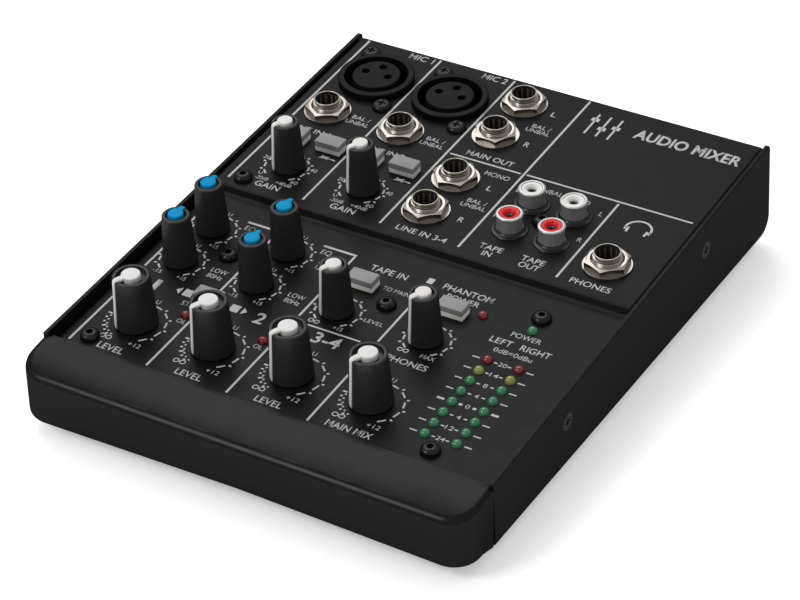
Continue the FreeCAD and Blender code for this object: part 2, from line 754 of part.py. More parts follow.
def board_standoffs():
    """Threaded pillars between the panel and the boards, under the panel screws."""
    pillars = []
    for index, (x, y, level) in enumerate(PANEL_SCREWS):
        foot = JACK_BOARD_TOP if index == 6 else BOARD_TOP
        pillar = hex_prism(x, y, foot, level - SHEET, 5.0)
        pillars.append(pillar.cut(rod(x, y, level - 6.0, level, 1.25)))
    return pillars


def jack_bodies():
    """Quarter-inch socket bodies with threaded noses through the upper panel."""
    bodies = []
    for x, y in JACKS.values():
        body = box(x - 7.6, x + 7.6, y - 7.6, y + 7.6, JACK_BOARD_TOP, STEP - SHEET)
        radius, reach = JACK_THREAD
        thread = rod(x, y, STEP - SHEET, STEP + reach, radius)
        lip = rod(x, y, STEP + reach, STEP + JACK_NOSE, JACK_LIP)
        lip = lip.makeFillet(0.4, edges_where(lip, lambda m, e: m.z > STEP + JACK_NOSE - 0.01))
        bore = rod(x, y, JACK_BOARD_TOP - 1, STEP + JACK_NOSE + 1, JACK_BORE)
        bodies.append(fuse([body, thread, lip]).cut(bore))
    return bodies


def jack_washers():
    rings = []
    for x, y in JACKS.values():
        ring = rod(x, y, STEP, STEP + 0.6, 7.85)
        rings.append(ring.cut(rod(x, y, STEP - 1, STEP + 2, 4.8)))
    return rings


def jack_nuts():
    nuts = []
    foot = STEP + 0.6
    top = STEP + NUT_TOP
    for name, (x, y) in JACKS.items():
        nut = hex_prism(x, y, foot, top, NUT_FLATS, NUT_TURN[name])
        nut = nut.common(cone(x, y, foot, top, 12.5, 6.2))
        bore = rod(x, y, foot - 1, top + 1, 4.75)
        mouth = cone(x, y, top - 0.7, top, 4.75, 5.45)
        nuts.append(nut.cut(bore.fuse(mouth)))
    return nuts


def rca_bodies():
    """Black moulded bases of the phono sockets, a collar showing in each panel hole."""
    bases = []
    for x in RCA_X:
        for y in RCA_Y:
            lower = rod(x, y, JACK_BOARD_TOP, STEP - SHEET, 6.6)
            collar = rod(x, y, STEP - SHEET, STEP + 0.25, 5.9)
            bases.append(fuse([lower, collar]).cut(rod(x, y, -6.0, STEP + 2, RCA_SHELL)))
    return bases


def rca_shells():
    """Plated outer contacts, flared at the foot and rolled at the top."""
    shells = []
    for x in RCA_X:
        for y in RCA_Y:
            tube = rod(x, y, -6.0, STEP + RCA_RISE - 0.9, RCA_SHELL)
            bead = cone(x, y, STEP + RCA_RISE - 0.9, STEP + RCA_RISE, RCA_SHELL, RCA_SHELL - 0.6)
            flare = cone(x, y, STEP + 0.25, STEP + 1.1, 5.3, RCA_SHELL)
            shell = fuse([tube, bead, flare])
            shells.append(shell.cut(rod(x, y, -7.0, STEP + RCA_RISE + 1, 3.35)))
    return shells


def rca_inserts(y):
    """Coloured insulators with the centre contact hole."""
    inserts = []
    for x in RCA_X:
        plug = rod(x, y, -6.0, STEP + RCA_RISE - 0.15, 3.35)
        plug = plug.cut(rod(x, y, STEP - 4, STEP + RCA_RISE + 1, 1.65))
        mouth = edges_where(plug, lambda m, e: m.z > STEP + RCA_RISE - 0.2 and e.Length < 12)
        inserts.append(plug.makeChamfer(0.5, mouth))
    return inserts


# ---- rear flange ----------------------------------------------------------------------------
def power_inlet():
    """Round three-pin socket for the outboard supply, in the rear flange."""
    x, z = INLET_AT
    along = Vector(0, 1, 0)
    inside = PANEL_REAR - SHEET
    body = Part.makeCylinder(INLET_BODY, 14.0, Vector(x, PANEL_REAR - 14.0, z), along)
    flange = Part.makeCylinder(8.6, 1.1, Vector(x, PANEL_REAR, z), along)
    bore = Part.makeCylinder(INLET_BORE, 10.0, Vector(x, PANEL_REAR + 1.1 - 10.0, z), along)
    key = box(x - 1.2, x + 1.2, inside - 10, PANEL_REAR + 2, z + 4.5, z + 6.2)
    shell = fuse([body, flange]).cut(fuse([bore, key]))
    pins = []
    for angle in (90, 210, 330):
        px = x + 3.0 * math.cos(math.radians(angle))
        pz = z + 3.0 * math.sin(math.radians(angle))
        pins.append(Part.makeCylinder(0.6, 7.0, Vector(px, PANEL_REAR - 9.5, pz), along))
    return fuse([shell] + pins)


def rocker_housing():
    """Bezel and case of the power switch, with pivot holes for the rocker."""
    x, z = ROCKER_AT
    bezel = box(x - 10.6, x + 10.6, PANEL_REAR, PANEL_REAR + 0.9, z - 7.0, z + 7.0)
    case = box(x - 9.5, x + 9.5, PANEL_REAR - 15, PANEL_REAR, z - 6.0, z + 6.0)
    cavity = box(x - 9.0, x + 9.0, PANEL_REAR - 13.5, PANEL_REAR + 2, z - 5.1, z + 5.1)
    pivot = rod(x, ROCKER_PIVOT_Y, z - 5.7, z + 5.7, ROCKER_PIVOT_RADIUS + RUNNING_GAP)
    return fuse([bezel, case]).cut(fuse([cavity, pivot]))


def power_rocker():
    """Rocker with a shallow V face, resting on its left-hand side."""
    x, z = ROCKER_AT
    outline = [
        Vector(-7.6, 6.6, 0),
        Vector(0.0, 5.1, 0),
        Vector(7.6, 6.6, 0),
        Vector(7.0, 1.5, 0),
        Vector(2.2, -3.0, 0),
        Vector(-2.2, -3.0, 0),
        Vector(-7.0, 1.5, 0),
    ]
    ring = [point + Vector(x, ROCKER_PIVOT_Y, z - 4.9) for point in outline]
    body = Part.Face(Part.makePolygon(ring + ring[:1])).extrude(Vector(0, 0, 9.8))
    pin = rod(x, ROCKER_PIVOT_Y, z - 5.5, z + 5.5, ROCKER_PIVOT_RADIUS)
    rocker = fuse([body, pin])
    rocker.rotate(Vector(x, ROCKER_PIVOT_Y, z), UP, ROCKER_TILT)
    return rocker


# ---- case screws ----------------------------------------------------------------------------
def case_screws():
    """Countersunk cross-head screws: two in each side, two up into the bumper."""
    screws = []
    for side in (-1, 1):
        for y, z in SIDE_SCREWS:
            start = Vector(side * HALF_WIDTH, y, z)
            inwards = Vector(-side, 0, 0)
            head = Part.makeCone(2.9, 1.5, 1.35, start, inwards)
            shank = Part.makeCylinder(1.5, 5.5, start, inwards)
            slots = []
            depth = sorted((side * (HALF_WIDTH - 0.7), side * (HALF_WIDTH + 1)))
            slots.append(box(depth[0], depth[1], y - 1.6, y + 1.6, z - 0.35, z + 0.35))
            slots.append(box(depth[0], depth[1], y - 0.35, y + 0.35, z - 1.6, z + 1.6))
            screws.append(fuse([head, shank]).cut(fuse(slots)))
    for x, y in BUMPER_SCREWS:
        head = bumper_screw_cone(x, y, 0.1)
        shank = rod(x, y, base_z(y) + 0.6, base_z(y) + 5.6, 1.2)
        screws.append(fuse([head, shank]))
    return screws


def write_static_parts():
    save("chassis_tray", chassis_tray())
    save("top_panel", top_panel())
    body, lugs = front_bumper()
    save("front_bumper", fuse([body] + lugs))
    save("control_board", control_board())
    save("jack_board", jack_board())
    save("ribbon_cable", ribbon_cable())
    save("filter_capacitors", filter_capacitors())
    save("board_standoffs", board_standoffs())
    save("pot_bodies", pot_bodies())
    save("switch_bodies", switch_bodies())
    save("leds_green", lamps(LAMPS["green"]))
    save("leds_yellow", lamps(LAMPS["yellow"]))
    save("leds_red", lamps(LAMPS["red"]))
    save("xlr_shells", xlr_shells())
    save("xlr_inserts", xlr_inserts())
    save("xlr_screws", xlr_screw_set())
    save("jack_bodies", jack_bodies())
    save("jack_washers", jack_washers())
    save("jack_nuts", jack_nuts())
    save("rca_bodies", rca_bodies())
    save("rca_shells", rca_shells())
    save("rca_inserts_white", rca_inserts(RCA_Y[1]))
    save("rca_inserts_red", rca_inserts(RCA_Y[0]))
    save("panel_screws", panel_screws())
    save("case_screws", case_screws())
    save("power_inlet", power_inlet())
    save("rocker_housing", rocker_housing())
    save("power_rocker", power_rocker())
    save("rubber_feet", rubber_feet(), placed=False)


if __name__ == "__main__":
    os.makedirs("parts", exist_ok=True)
    write_static_parts()
    write_knobs()
    for name, (x, y, level) in BUTTONS.items():
        save("button_" + name, button(x, y, level))
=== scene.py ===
"""Looks of a compact audio mixing console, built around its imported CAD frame.

Shapes are written in the panel frame: millimetres, X to the right, Y to the rear along the
sloping panel, Z square to it, with Z = 0 on the lower panel.  PANEL turns them into the row frame
in metres.
"""

import json
import math

import bmesh
import bpy
from mathutils import Matrix, Vector


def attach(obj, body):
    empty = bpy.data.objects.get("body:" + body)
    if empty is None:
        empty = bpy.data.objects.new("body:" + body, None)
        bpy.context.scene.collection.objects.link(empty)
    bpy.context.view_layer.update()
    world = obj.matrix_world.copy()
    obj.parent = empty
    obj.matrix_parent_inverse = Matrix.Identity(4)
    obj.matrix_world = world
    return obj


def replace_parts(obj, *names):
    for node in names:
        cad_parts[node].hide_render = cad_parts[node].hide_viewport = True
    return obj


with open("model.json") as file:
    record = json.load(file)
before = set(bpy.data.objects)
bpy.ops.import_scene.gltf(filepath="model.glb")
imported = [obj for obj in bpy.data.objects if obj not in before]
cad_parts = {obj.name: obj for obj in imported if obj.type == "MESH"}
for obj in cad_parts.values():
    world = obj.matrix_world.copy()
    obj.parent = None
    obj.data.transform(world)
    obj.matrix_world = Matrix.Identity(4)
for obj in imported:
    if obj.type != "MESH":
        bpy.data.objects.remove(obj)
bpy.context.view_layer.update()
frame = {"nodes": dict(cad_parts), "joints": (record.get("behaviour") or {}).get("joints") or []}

MM = 0.001
JOINTS = {joint["name"]: joint for joint in frame["joints"]}
NODES = frame["nodes"]

# ---- the panel frame, found from one knob's joint --------------------------------------------
LEVEL_1_AT = (-57.67, 16.49)       # that knob's place on the panel
NORMAL = -Vector(JOINTS["level_1_turn"]["axis"]).normalized()
RIGHT = Vector((1.0, 0.0, 0.0))
REARWARD = NORMAL.cross(RIGHT)
ORIGIN = (Vector(JOINTS["level_1_turn"]["pos_m"])
          - RIGHT * LEVEL_1_AT[0] * MM - REARWARD * LEVEL_1_AT[1] * MM)
PANEL = Matrix((
    (RIGHT.x * MM, REARWARD.x * MM, NORMAL.x * MM, ORIGIN.x),
    (RIGHT.y * MM, REARWARD.y * MM, NORMAL.y * MM, ORIGIN.y),
    (RIGHT.z * MM, REARWARD.z * MM, NORMAL.z * MM, ORIGIN.z),
    (0.0, 0.0, 0.0, 1.0),
))
FROM_ROW = PANEL.inverted()

STEP = 3.08                        # upper panel above lower panel
LOWER, UPPER = 0.0, STEP


def joint_at(name):
    """Place of a joint on the panel, (x, y) in millimetres."""
    spot = FROM_ROW @ Vector(JOINTS[name]["pos_m"])
    return spot.x, spot.y


def node_box(node):
    """Lowest and highest corner of a small node in the panel frame, from its mesh."""
    points = [FROM_ROW @ vertex.co for vertex in NODES[node].data.vertices]
    low = [min(point[i] for point in points) for i in range(3)]
    high = [max(point[i] for point in points) for i in range(3)]
    return low, high


# ---- materials -------------------------------------------------------------------------------
def new_material(name):
    material = bpy.data.materials.new(name)
    material.use_nodes = True
    nodes = material.node_tree.nodes
    return material, nodes, material.node_tree.links, nodes["Principled BSDF"]


def noise(nodes, links, coords, scale, detail=2.0, rough=0.5):
    texture = nodes.new("ShaderNodeTexNoise")
    texture.inputs["Scale"].default_value = scale
    texture.inputs["Detail"].default_value = detail
    texture.inputs["Roughness"].default_value = rough
    links.new(coords, texture.inputs["Vector"])
    return texture.outputs["Fac"]


def spread(nodes, links, value, low, high):
    """A 0..1 noise stretched to low..high."""
    ramp = nodes.new("ShaderNodeMapRange")
    ramp.inputs["From Min"].default_value = 0.3
    ramp.inputs["From Max"].default_value = 0.7
    ramp.inputs["To Min"].default_value = low
    ramp.inputs["To Max"].default_value = high
    links.new(value, ramp.inputs["Value"])
    return ramp.outputs["Result"]


def object_coords(nodes):
    return nodes.new("ShaderNodeTexCoord").outputs["Object"]


PATCH_SCALE = 140.0                # patches of roughness, per metre
PLAIN_GRAIN = 0.5                  # grain of a finish that names none, in millimetres


def finish_material(name, color, rough, vary=0.05, metallic=0.0, grain=None, depth=0.0,
                    coat=0.0, tone=0.12, specular=0.5, gloss=None, glow=0.0):
    """Principled finish with a fine bump, patchy roughness and a slight change of tone.

    grain is the size of the surface texture and depth its height, both in millimetres.  gloss is
    for a textured black finish: the even share of light that its fine grain scatters as sheen.
    """
    material, nodes, links, shader = new_material(name)
    coords = object_coords(nodes)
    shader.inputs["Metallic"].default_value = metallic
    shader.inputs["Specular IOR Level"].default_value = specular
    shader.inputs["Coat Weight"].default_value = coat
    shader.inputs["Coat Roughness"].default_value = 0.08
    patches = noise(nodes, links, coords, PATCH_SCALE, 3.0)
    roughness = spread(nodes, links, patches, rough - vary, rough + vary)
    links.new(roughness, shader.inputs["Roughness"])
    mix = nodes.new("ShaderNodeMix")
    mix.data_type = "RGBA"
    darker = [channel * (1.0 - tone) for channel in color]
    lighter = [min(1.0, channel * (1.0 + tone)) for channel in color]
    mix.inputs["A"].default_value = (*darker, 1.0)
    mix.inputs["B"].default_value = (*lighter, 1.0)
    texture = noise(nodes, links, coords, 1.0 / ((grain or PLAIN_GRAIN) * MM), 3.0, 0.6)
    links.new(spread(nodes, links, texture, 0.0, 1.0), mix.inputs["Factor"])
    links.new(mix.outputs["Result"], shader.inputs["Base Color"])
    if depth:
        bump = nodes.new("ShaderNodeBump")
        bump.inputs["Distance"].default_value = depth * MM
        bump.inputs["Strength"].default_value = 1.0
        links.new(texture, bump.inputs["Height"])
        links.new(bump.outputs["Normal"], shader.inputs["Normal"])
    if gloss is not None:
        shader.inputs["Specular IOR Level"].default_value = 0.0
        sheen = nodes.new("ShaderNodeBsdfGlossy")
        links.new(roughness, sheen.inputs["Roughness"])
        if depth:
            links.new(bump.outputs["Normal"], sheen.inputs["Normal"])
        blend = nodes.new("ShaderNodeMixShader")
        blend.inputs["Fac"].default_value = gloss
        links.new(shader.outputs["BSDF"], blend.inputs[1])
        links.new(sheen.outputs["BSDF"], blend.inputs[2])
        links.new(blend.outputs["Shader"], nodes["Material Output"].inputs["Surface"])
    # glow is emission in the finish's own colour. On the unlit lamps it is painted light through
    # their domes, and on the floor it keeps the floor evenly bright.
    if glow:
        shader.inputs["Emission Color"].default_value = (*color, 1.0)
        shader.inputs["Emission Strength"].default_value = glow
    return material


MAT = {
    "case": finish_material("powder_coat_black", (0.0056, 0.0054, 0.0050), 0.44, 0.04,
                            grain=0.30, depth=0.012, tone=0.25, gloss=0.013),
    "bumper": finish_material("moulded_bumper_black", (0.0042, 0.0042, 0.0042), 0.26, 0.03,
                              grain=0.22, depth=0.002, tone=0.1, gloss=0.0125),
    "knob": finish_material("knob_soft_black", (0.0155, 0.0158, 0.0175), 0.36, 0.03,
                            grain=0.18, depth=0.003, tone=0.12, gloss=0.026),
    "xlr": finish_material("socket_black", (0.0040, 0.0040, 0.0040), 0.34, 0.04,
                           grain=0.25, depth=0.003, gloss=0.010),
    "core": finish_material("socket_core_black", (0.0060, 0.0060, 0.0060), 0.45, 0.03,
                            grain=0.25, depth=0.002, gloss=0.009),
    "screw": finish_material("screw_black", (0.0065, 0.0065, 0.0065), 0.24, 0.05,
                             grain=0.2, depth=0.001, gloss=0.022),
    # Screws on the side walls: a lighter copy of the screw finish. Its doubled base colour is
    # painted light on the side walls; its stronger sheen comes from the glossy shader.
    "sidewall_screw_painted_lighter": finish_material("sidewall_screw_black_painted_lighter", (0.012, 0.012, 0.012), 0.30, 0.06,
                                  grain=0.2, depth=0.002, gloss=0.035),
    "nickel": finish_material("nickel_plate", (0.33, 0.30, 0.265), 0.30, 0.05, metallic=1.0,
                              grain=0.4, depth=0.002, tone=0.06),
    "chrome": finish_material("bright_plate", (0.40, 0.40, 0.39), 0.30, 0.05, metallic=0.55,
                              grain=0.5, depth=0.004, tone=0.05),
    "spring": finish_material("contact_spring", (0.26, 0.19, 0.14), 0.35, 0.05, metallic=0.6,
                              grain=0.3, tone=0.08),
    "sleeve": finish_material("phono_sleeve_grey", (0.10, 0.10, 0.10), 0.35, 0.04, metallic=0.6,
                              grain=0.3, tone=0.06),
    "bore": finish_material("socket_bore_dark", (0.006, 0.005, 0.0045), 0.6, 0.05),
    "rca_base": finish_material("phono_base_black", (0.008, 0.008, 0.008), 0.28, 0.04,
                                grain=0.3, depth=0.002, gloss=0.03),
    "rca_white": finish_material("phono_white", (0.60, 0.60, 0.57), 0.32, 0.04, tone=0.02,
                                 specular=0.15),
    "rca_red": finish_material("phono_red", (0.50, 0.010, 0.012), 0.32, 0.04, tone=0.04,
                               specular=0.15),
    "pointer_white": finish_material("pointer_white", (0.58, 0.57, 0.555), 0.40, 0.04, tone=0.02,
                                     grain=0.3, depth=0.002, specular=0.12),
    "pointer_blue": finish_material("pointer_blue", (0.0, 0.205, 0.42), 0.42, 0.04, tone=0.04,
                                    grain=0.3, depth=0.002, specular=0.04),
    "button_top": finish_material("button_grey", (0.225, 0.228, 0.230), 0.42, 0.04, tone=0.04,
                                  grain=0.25, depth=0.003, specular=0.1),
    "button_base_cool": finish_material("button_base_cool", (0.64, 0.65, 0.68), 0.45, 0.04,
                                        tone=0.04, grain=0.25, depth=0.003, specular=0.1),
    "button_base_warm": finish_material("button_base_warm", (0.70, 0.70, 0.62), 0.45, 0.04,
                                        tone=0.04, grain=0.25, depth=0.003, specular=0.1),
    # The lamps are unlit. Their glow is painted light that stands in for light passing through the
    # domes.
    "led_green": finish_material("lamp_green", (0.018, 0.120, 0.050), 0.16, 0.02, coat=0.5,
                                 tone=0.08, specular=0.3, glow=0.25),
    "led_yellow": finish_material("lamp_yellow", (0.150, 0.150, 0.035), 0.16, 0.02, coat=0.5,
                                  tone=0.08, specular=0.3, glow=0.25),
    "led_red": finish_material("lamp_red", (0.115, 0.005, 0.006), 0.16, 0.02, coat=0.5,
                               tone=0.08, specular=0.3, glow=0.25),
    "print": finish_material("panel_print", (0.40, 0.40, 0.40), 0.55, 0.04, tone=0.04,
                             grain=0.3, depth=0.002, specular=0.1),
    "rubber": finish_material("foot_rubber", (0.012, 0.012, 0.012), 0.75, 0.05,
                              grain=0.35, depth=0.01),
    "board": finish_material("circuit_green", (0.01, 0.10, 0.035), 0.35, 0.05, grain=1.2),
    "ribbon": finish_material("ribbon_grey", (0.30, 0.31, 0.33), 0.5, 0.04, grain=0.6, depth=0.01),
    "can": finish_material("can_metal", (0.72, 0.73, 0.75), 0.28, 0.05, metallic=1.0),
    "brass": finish_material("pillar_brass", (0.65, 0.46, 0.20), 0.3, 0.05, metallic=1.0),
    "zinc": finish_material("pot_zinc", (0.55, 0.55, 0.56), 0.35, 0.06, metallic=1.0),
    "dark_plastic": finish_material("moulded_black", (0.012, 0.012, 0.012), 0.4, 0.05,
                                    grain=0.25, depth=0.003),
    "gloss_black": finish_material("rocker_gloss", (0.010, 0.010, 0.010), 0.15, 0.03, coat=0.4),
}

NODE_MATERIAL = {
    "chassis_tray": "case", "top_panel": "case", "front_bumper": "bumper",
    "control_board": "board", "jack_board": "board", "ribbon_cable": "ribbon",
    "filter_capacitors": "can", "board_standoffs": "brass", "pot_bodies": "zinc",
    "switch_bodies": "dark_plastic", "leds_green": "led_green", "leds_yellow": "led_yellow",
    "leds_red": "led_red", "xlr_shells": "xlr", "xlr_inserts": "core", "xlr_screws": "screw",
    "jack_bodies": "nickel", "jack_washers": "nickel", "jack_nuts": "nickel",
    "rca_bodies": "rca_base", "rca_shells": "chrome", "rca_inserts_white": "rca_white",
    "rca_inserts_red": "rca_red", "panel_screws": "screw", "case_screws": "sidewall_screw_painted_lighter",
    "power_inlet": "dark_plastic", "rocker_housing": "dark_plastic",
    "power_rocker": "gloss_black", "rubber_feet": "rubber",
}


def material_for(node):
    if node in NODE_MATERIAL:
        return MAT[NODE_MATERIAL[node]]
    if node.startswith("knob_"):
        return MAT["knob"]
    if node.startswith("pointer_eq"):
        return MAT["pointer_blue"]
    if node.startswith("pointer_"):
        return MAT["pointer_white"]
    return MAT["button_top"]


for node_name, node_object in NODES.items():
    for material_slot in node_object.material_slots:
        material_slot.material = material_for(node_name)


# ---- mesh helpers ----------------------------------------------------------------------------
def piece(name, bm, material, body="console", smooth=0.6):
    """Turn a bmesh in the panel frame into an object that rides on a body."""
    bmesh.ops.transform(bm, matrix=PANEL, verts=bm.verts)
    bmesh.ops.recalc_face_normals(bm, faces=bm.faces)
    mesh = bpy.data.meshes.new(name)
    bm.to_mesh(mesh)
    bm.free()
    mesh.materials.append(MAT[material])
    made = bpy.data.objects.new(name, mesh)
    bpy.context.scene.collection.objects.link(made)
    if smooth:
        mesh.polygons.foreach_set("use_smooth", [True] * len(mesh.polygons))
        mesh.set_sharp_from_angle(angle=smooth)
    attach(made, body)
    return made


def slab(bm, corners, z0, z1):
    """Closed prism over a polygon of (x, y) corners, listed anticlockwise."""
    low = [bm.verts.new((x, y, z0)) for x, y in corners]
    high = [bm.verts.new((x, y, z1)) for x, y in corners]
    bm.faces.new(list(reversed(low)))
    bm.faces.new(high)
    count = len(corners)
    for i in range(count):
        j = (i + 1) % count
        bm.faces.new((low[i], low[j], high[j], high[i]))


def bar(bm, x0, x1, y0, y1, z0, z1):
    slab(bm, [(x0, y0), (x1, y0), (x1, y1), (x0, y1)], z0, z1)


def lathe(bm, x, y, profile, steps=64):
    """Surface of revolution about the upright axis at (x, y); profile is closed, (radius, z)."""
    rings = []
    for radius, z in profile:
        ring = []
        for i in range(steps):
            turn = 2.0 * math.pi * i / steps
            ring.append(bm.verts.new((x + radius * math.cos(turn),
                                      y + radius * math.sin(turn), z)))
        rings.append(ring)
    for k in range(len(rings)):
        lower, upper = rings[k], rings[(k + 1) % len(rings)]
        for i in range(steps):
            j = (i + 1) % steps
            bm.faces.new((lower[i], lower[j], upper[j], upper[i]))


def arc_points(cx, cy, radius, start, end, steps):
    """Points of an arc in a profile, angles in degrees."""
    points = []
    for i in range(steps + 1):
        angle = math.radians(start + (end - start) * i / steps)
        points.append((cx + radius * math.cos(angle), cy + radius * math.sin(angle)))
    return points


# ---- print on the panel ----------------------------------------------------------------------
INK = 0.03                         # how far the print stands above the panel
INK_FOOT = 0.002                   # its underside, just clear of the panel
BOLD_CAP = 2.2                     # letters taller than this are printed heavier


def letters(words, weight=0.0):
    """Flat mesh of some words in the built-in typeface, in the typeface's own units."""
    curve = bpy.data.curves.new("words", "FONT")
    curve.body = words
    curve.offset = weight
    curve.resolution_u = 4
    holder = bpy.data.objects.new("words", curve)
    bpy.context.scene.collection.objects.link(holder)
    graph = bpy.context.evaluated_depsgraph_get()
    mesh = bpy.data.meshes.new_from_object(holder.evaluated_get(graph))
    bpy.data.objects.remove(holder)
    bpy.data.curves.remove(curve)
    return mesh


INFINITY_STEPS = 36
INFINITY_STROKE = 0.34


class Print:
    """One layer of print on one level of the panel."""

    def __init__(self, level):
        self.level = level
        self.bm = bmesh.new()

    def rect(self, x0, x1, y0, y1):
        bar(self.bm, min(x0, x1), max(x0, x1), min(y0, y1), max(y0, y1),
            self.level + INK_FOOT, self.level + INK)

    def polygon(self, corners):
        slab(self.bm, corners, self.level + INK_FOOT, self.level + INK)

    def line(self, x0, y0, x1, y1, width):
        along = Vector((x1 - x0, y1 - y0)).normalized()
        side = Vector((-along.y, along.x)) * width / 2.0
        self.polygon([
            (x0 - side.x, y0 - side.y), (x1 - side.x, y1 - side.y),
            (x1 + side.x, y1 + side.y), (x0 + side.x, y0 + side.y),
        ])

    def arc(self, x, y, radius, start, end, width):
        """Arc dash; angles in degrees, clockwise from the rear."""
        steps = max(2, int(abs(end - start) / 6.0))
        inner, outer = [], []
        for i in range(steps + 1):
            turn = math.radians(start + (end - start) * i / steps)
            inner.append((x + (radius - width / 2) * math.sin(turn),
                          y + (radius - width / 2) * math.cos(turn)))
            outer.append((x + (radius + width / 2) * math.sin(turn),
                          y + (radius + width / 2) * math.cos(turn)))
        for i in range(steps):
            self.polygon([inner[i], inner[i + 1], outer[i + 1], outer[i]])

    def tick(self, x, y, radius, length, angle, width):
        turn = math.radians(angle)
        out = Vector((math.sin(turn), math.cos(turn)))
        self.line(x + out.x * radius, y + out.y * radius,
                  x + out.x * (radius + length), y + out.y * (radius + length), width)

    def text(self, words, x0, x1, base, cap, weight=None):
        """Words fitted to run from x0 to x1, on the line y = base, with that capital height."""
        if weight is None:
            weight = 0.012 if cap > BOLD_CAP else 0.003
        mesh = letters(words, weight)
        low_x = min(v.co.x for v in mesh.vertices)
        high_x = max(v.co.x for v in mesh.vertices)
        layer = bmesh.new()
        layer.from_mesh(mesh)
        bmesh.ops.remove_doubles(layer, verts=layer.verts, dist=1e-5)
        for vertex in layer.verts:
            share_x = (vertex.co.x - low_x) / (high_x - low_x)
            share_y = (vertex.co.y - FONT_BASE) / (FONT_CAP - FONT_BASE)
            vertex.co = (x0 + (x1 - x0) * share_x, base + cap * share_y, self.level + INK)
        below = bmesh.ops.extrude_face_region(layer, geom=layer.faces[:])
        for element in below["geom"]:
            if isinstance(element, bmesh.types.BMVert):
                element.co.z = self.level + INK_FOOT
        flat = bpy.data.meshes.new("layer")
        layer.to_mesh(flat)
        self.bm.from_mesh(flat)
        layer.free()
        bpy.data.meshes.remove(flat)
        bpy.data.meshes.remove(mesh)

    def centred(self, words, x, width, base, cap, **more):
        self.text(words, x - width / 2, x + width / 2, base, cap, **more)

    def infinity(self, x, y, width, height):
        """Lying figure of eight, centred on (x, y)."""
        def on_curve(turn):
            shrink = 1.0 + math.sin(turn) ** 2
            return Vector((width / 2 * math.cos(turn) / shrink,
                           height * 1.41 * math.sin(turn) * math.cos(turn) / shrink))

        sides = []
        for i in range(INFINITY_STEPS):
            turn = 2 * math.pi * i / INFINITY_STEPS
            spot = on_curve(turn)
            along = (on_curve(turn + 0.05) - spot).normalized()
            across = Vector((-along.y, along.x)) * INFINITY_STROKE / 2
            sides.append((spot + across, spot - across))
        for i in range(INFINITY_STEPS):
            left, right = sides[i]
            next_left, next_right = sides[(i + 1) % INFINITY_STEPS]
            self.polygon([(x + q.x, y + q.y) for q in (right, next_right, next_left, left)])

    def done(self, name):
        piece(name, self.bm, "print", smooth=0)


def letter_height():
    """Base and capital height of the built-in letters, from a flat capital."""
    mesh = letters("H")
    heights = [v.co.y for v in mesh.vertices]
    bpy.data.meshes.remove(mesh)
    return min(heights), max(heights)


FONT_BASE, FONT_CAP = letter_height()

LINE = 0.75                        # width of the ruled lines
DASH = 0.62                        # width of the marks round a knob
RING_LARGE, RING_SMALL = 9.2, 7.35
COLUMN_X = (-57.8, -29.5, -1.3, 26.3)
COLUMN_PITCH = 28.35
DIVIDER_X = (-71.92, -43.54, -15.08, 13.1)


def knob_ring(ink, x, y, radius, fine_left=False):
    """Dashes and ticks round a knob, open at the front; fine_left crowds the low end."""
    for k in range(5):
        start, end = (30 * k + 5, 30 * k + 22) if k < 4 else (127, 144)
        ink.arc(x, y, radius, start, end, DASH)
        if not (fine_left and k > 1):
            ink.arc(x, y, radius, -end, -start, DASH)
    for angle in [30.0 * k for k in range(-4, 5) if k]:
        if not (fine_left and angle < -60):
            ink.tick(x, y, radius + 0.45, 0.95, angle, DASH)
    if fine_left:
        for step in range(7):
            angle = -76.0 - 12.0 * step
            gap, length = (0.1, 1.5) if step in (1, 4) else (0.6, 0.8)
            ink.tick(x, y, radius + gap, length, angle, DASH)
            ink.arc(x, y, radius, angle - 8.0, angle - 4.5, DASH)


def guitar(ink, x, y):
    """Small electric guitar lying on its side: horned body, neck and head."""
    for corners in (
        [(-2.9, -0.75), (-0.6, -0.45), (0.7, -1.0), (-0.1, 0.1), (-2.1, 0.15)],
        [(-2.1, -0.15), (-0.1, -0.1), (0.5, 1.05), (-1.0, 0.55), (-2.4, 1.0)],
    ):
        ink.polygon([(x + cx, y + cy) for cx, cy in corners])
    ink.line(x - 0.2, y, x + 2.3, y - 0.05, 0.4)
    ink.line(x + 2.2, y - 0.05, x + 3.1, y - 0.25, 0.7)


def headphones(ink, x, y, radius):
    """Headband with two ear pads."""
    ink.arc(x, y, radius, -100, 100, 0.75)
    for side in (-1, 1):
        ink.line(x + side * (radius - 1.2), y - 2.5, x + side * (radius - 1.0), y + 0.1, 0.8)
        ink.line(x + side * (radius - 0.25), y - 1.4, x + side * radius, y + 0.2, 0.8)


def print_level_row(ink):
    """Rings, scales and names of the four level controls."""
    names = ("LEVEL", "LEVEL", "LEVEL", "MAIN MIX")
    for index, x in enumerate(COLUMN_X):
        knob_ring(ink, x, 16.85, RING_LARGE, fine_left=True)
        ink.centred("U", x + 0.3, 1.5, 27.2, 1.9)
        nudge = 1.3 if index == 0 else 0.0
        ink.infinity(x - 6.2 + nudge, 6.9, 4.0, 1.7)
        ink.centred("+12", x + 5.6, 4.5, 6.15, 1.9)
        ink.centred(names[index], x - 0.1, 15.5 if index == 3 else 9.2, 1.4, 2.7)
    for x in DIVIDER_X:
        ink.rect(x - LINE / 2, x + LINE / 2, 0.7, 31.0)
    ink.centred("1", -63.05, 2.0, 32.9, 5.0, weight=0.02)
    ink.centred("2", -24.95, 3.4, 32.9, 5.0, weight=0.02)
    ink.centred("3-4", -1.1, 9.5, 32.9, 4.9, weight=0.02)
    for x in (-45.9, -18.1):
        ink.centred("OL", x, 3.2, 22.4, 2.0)


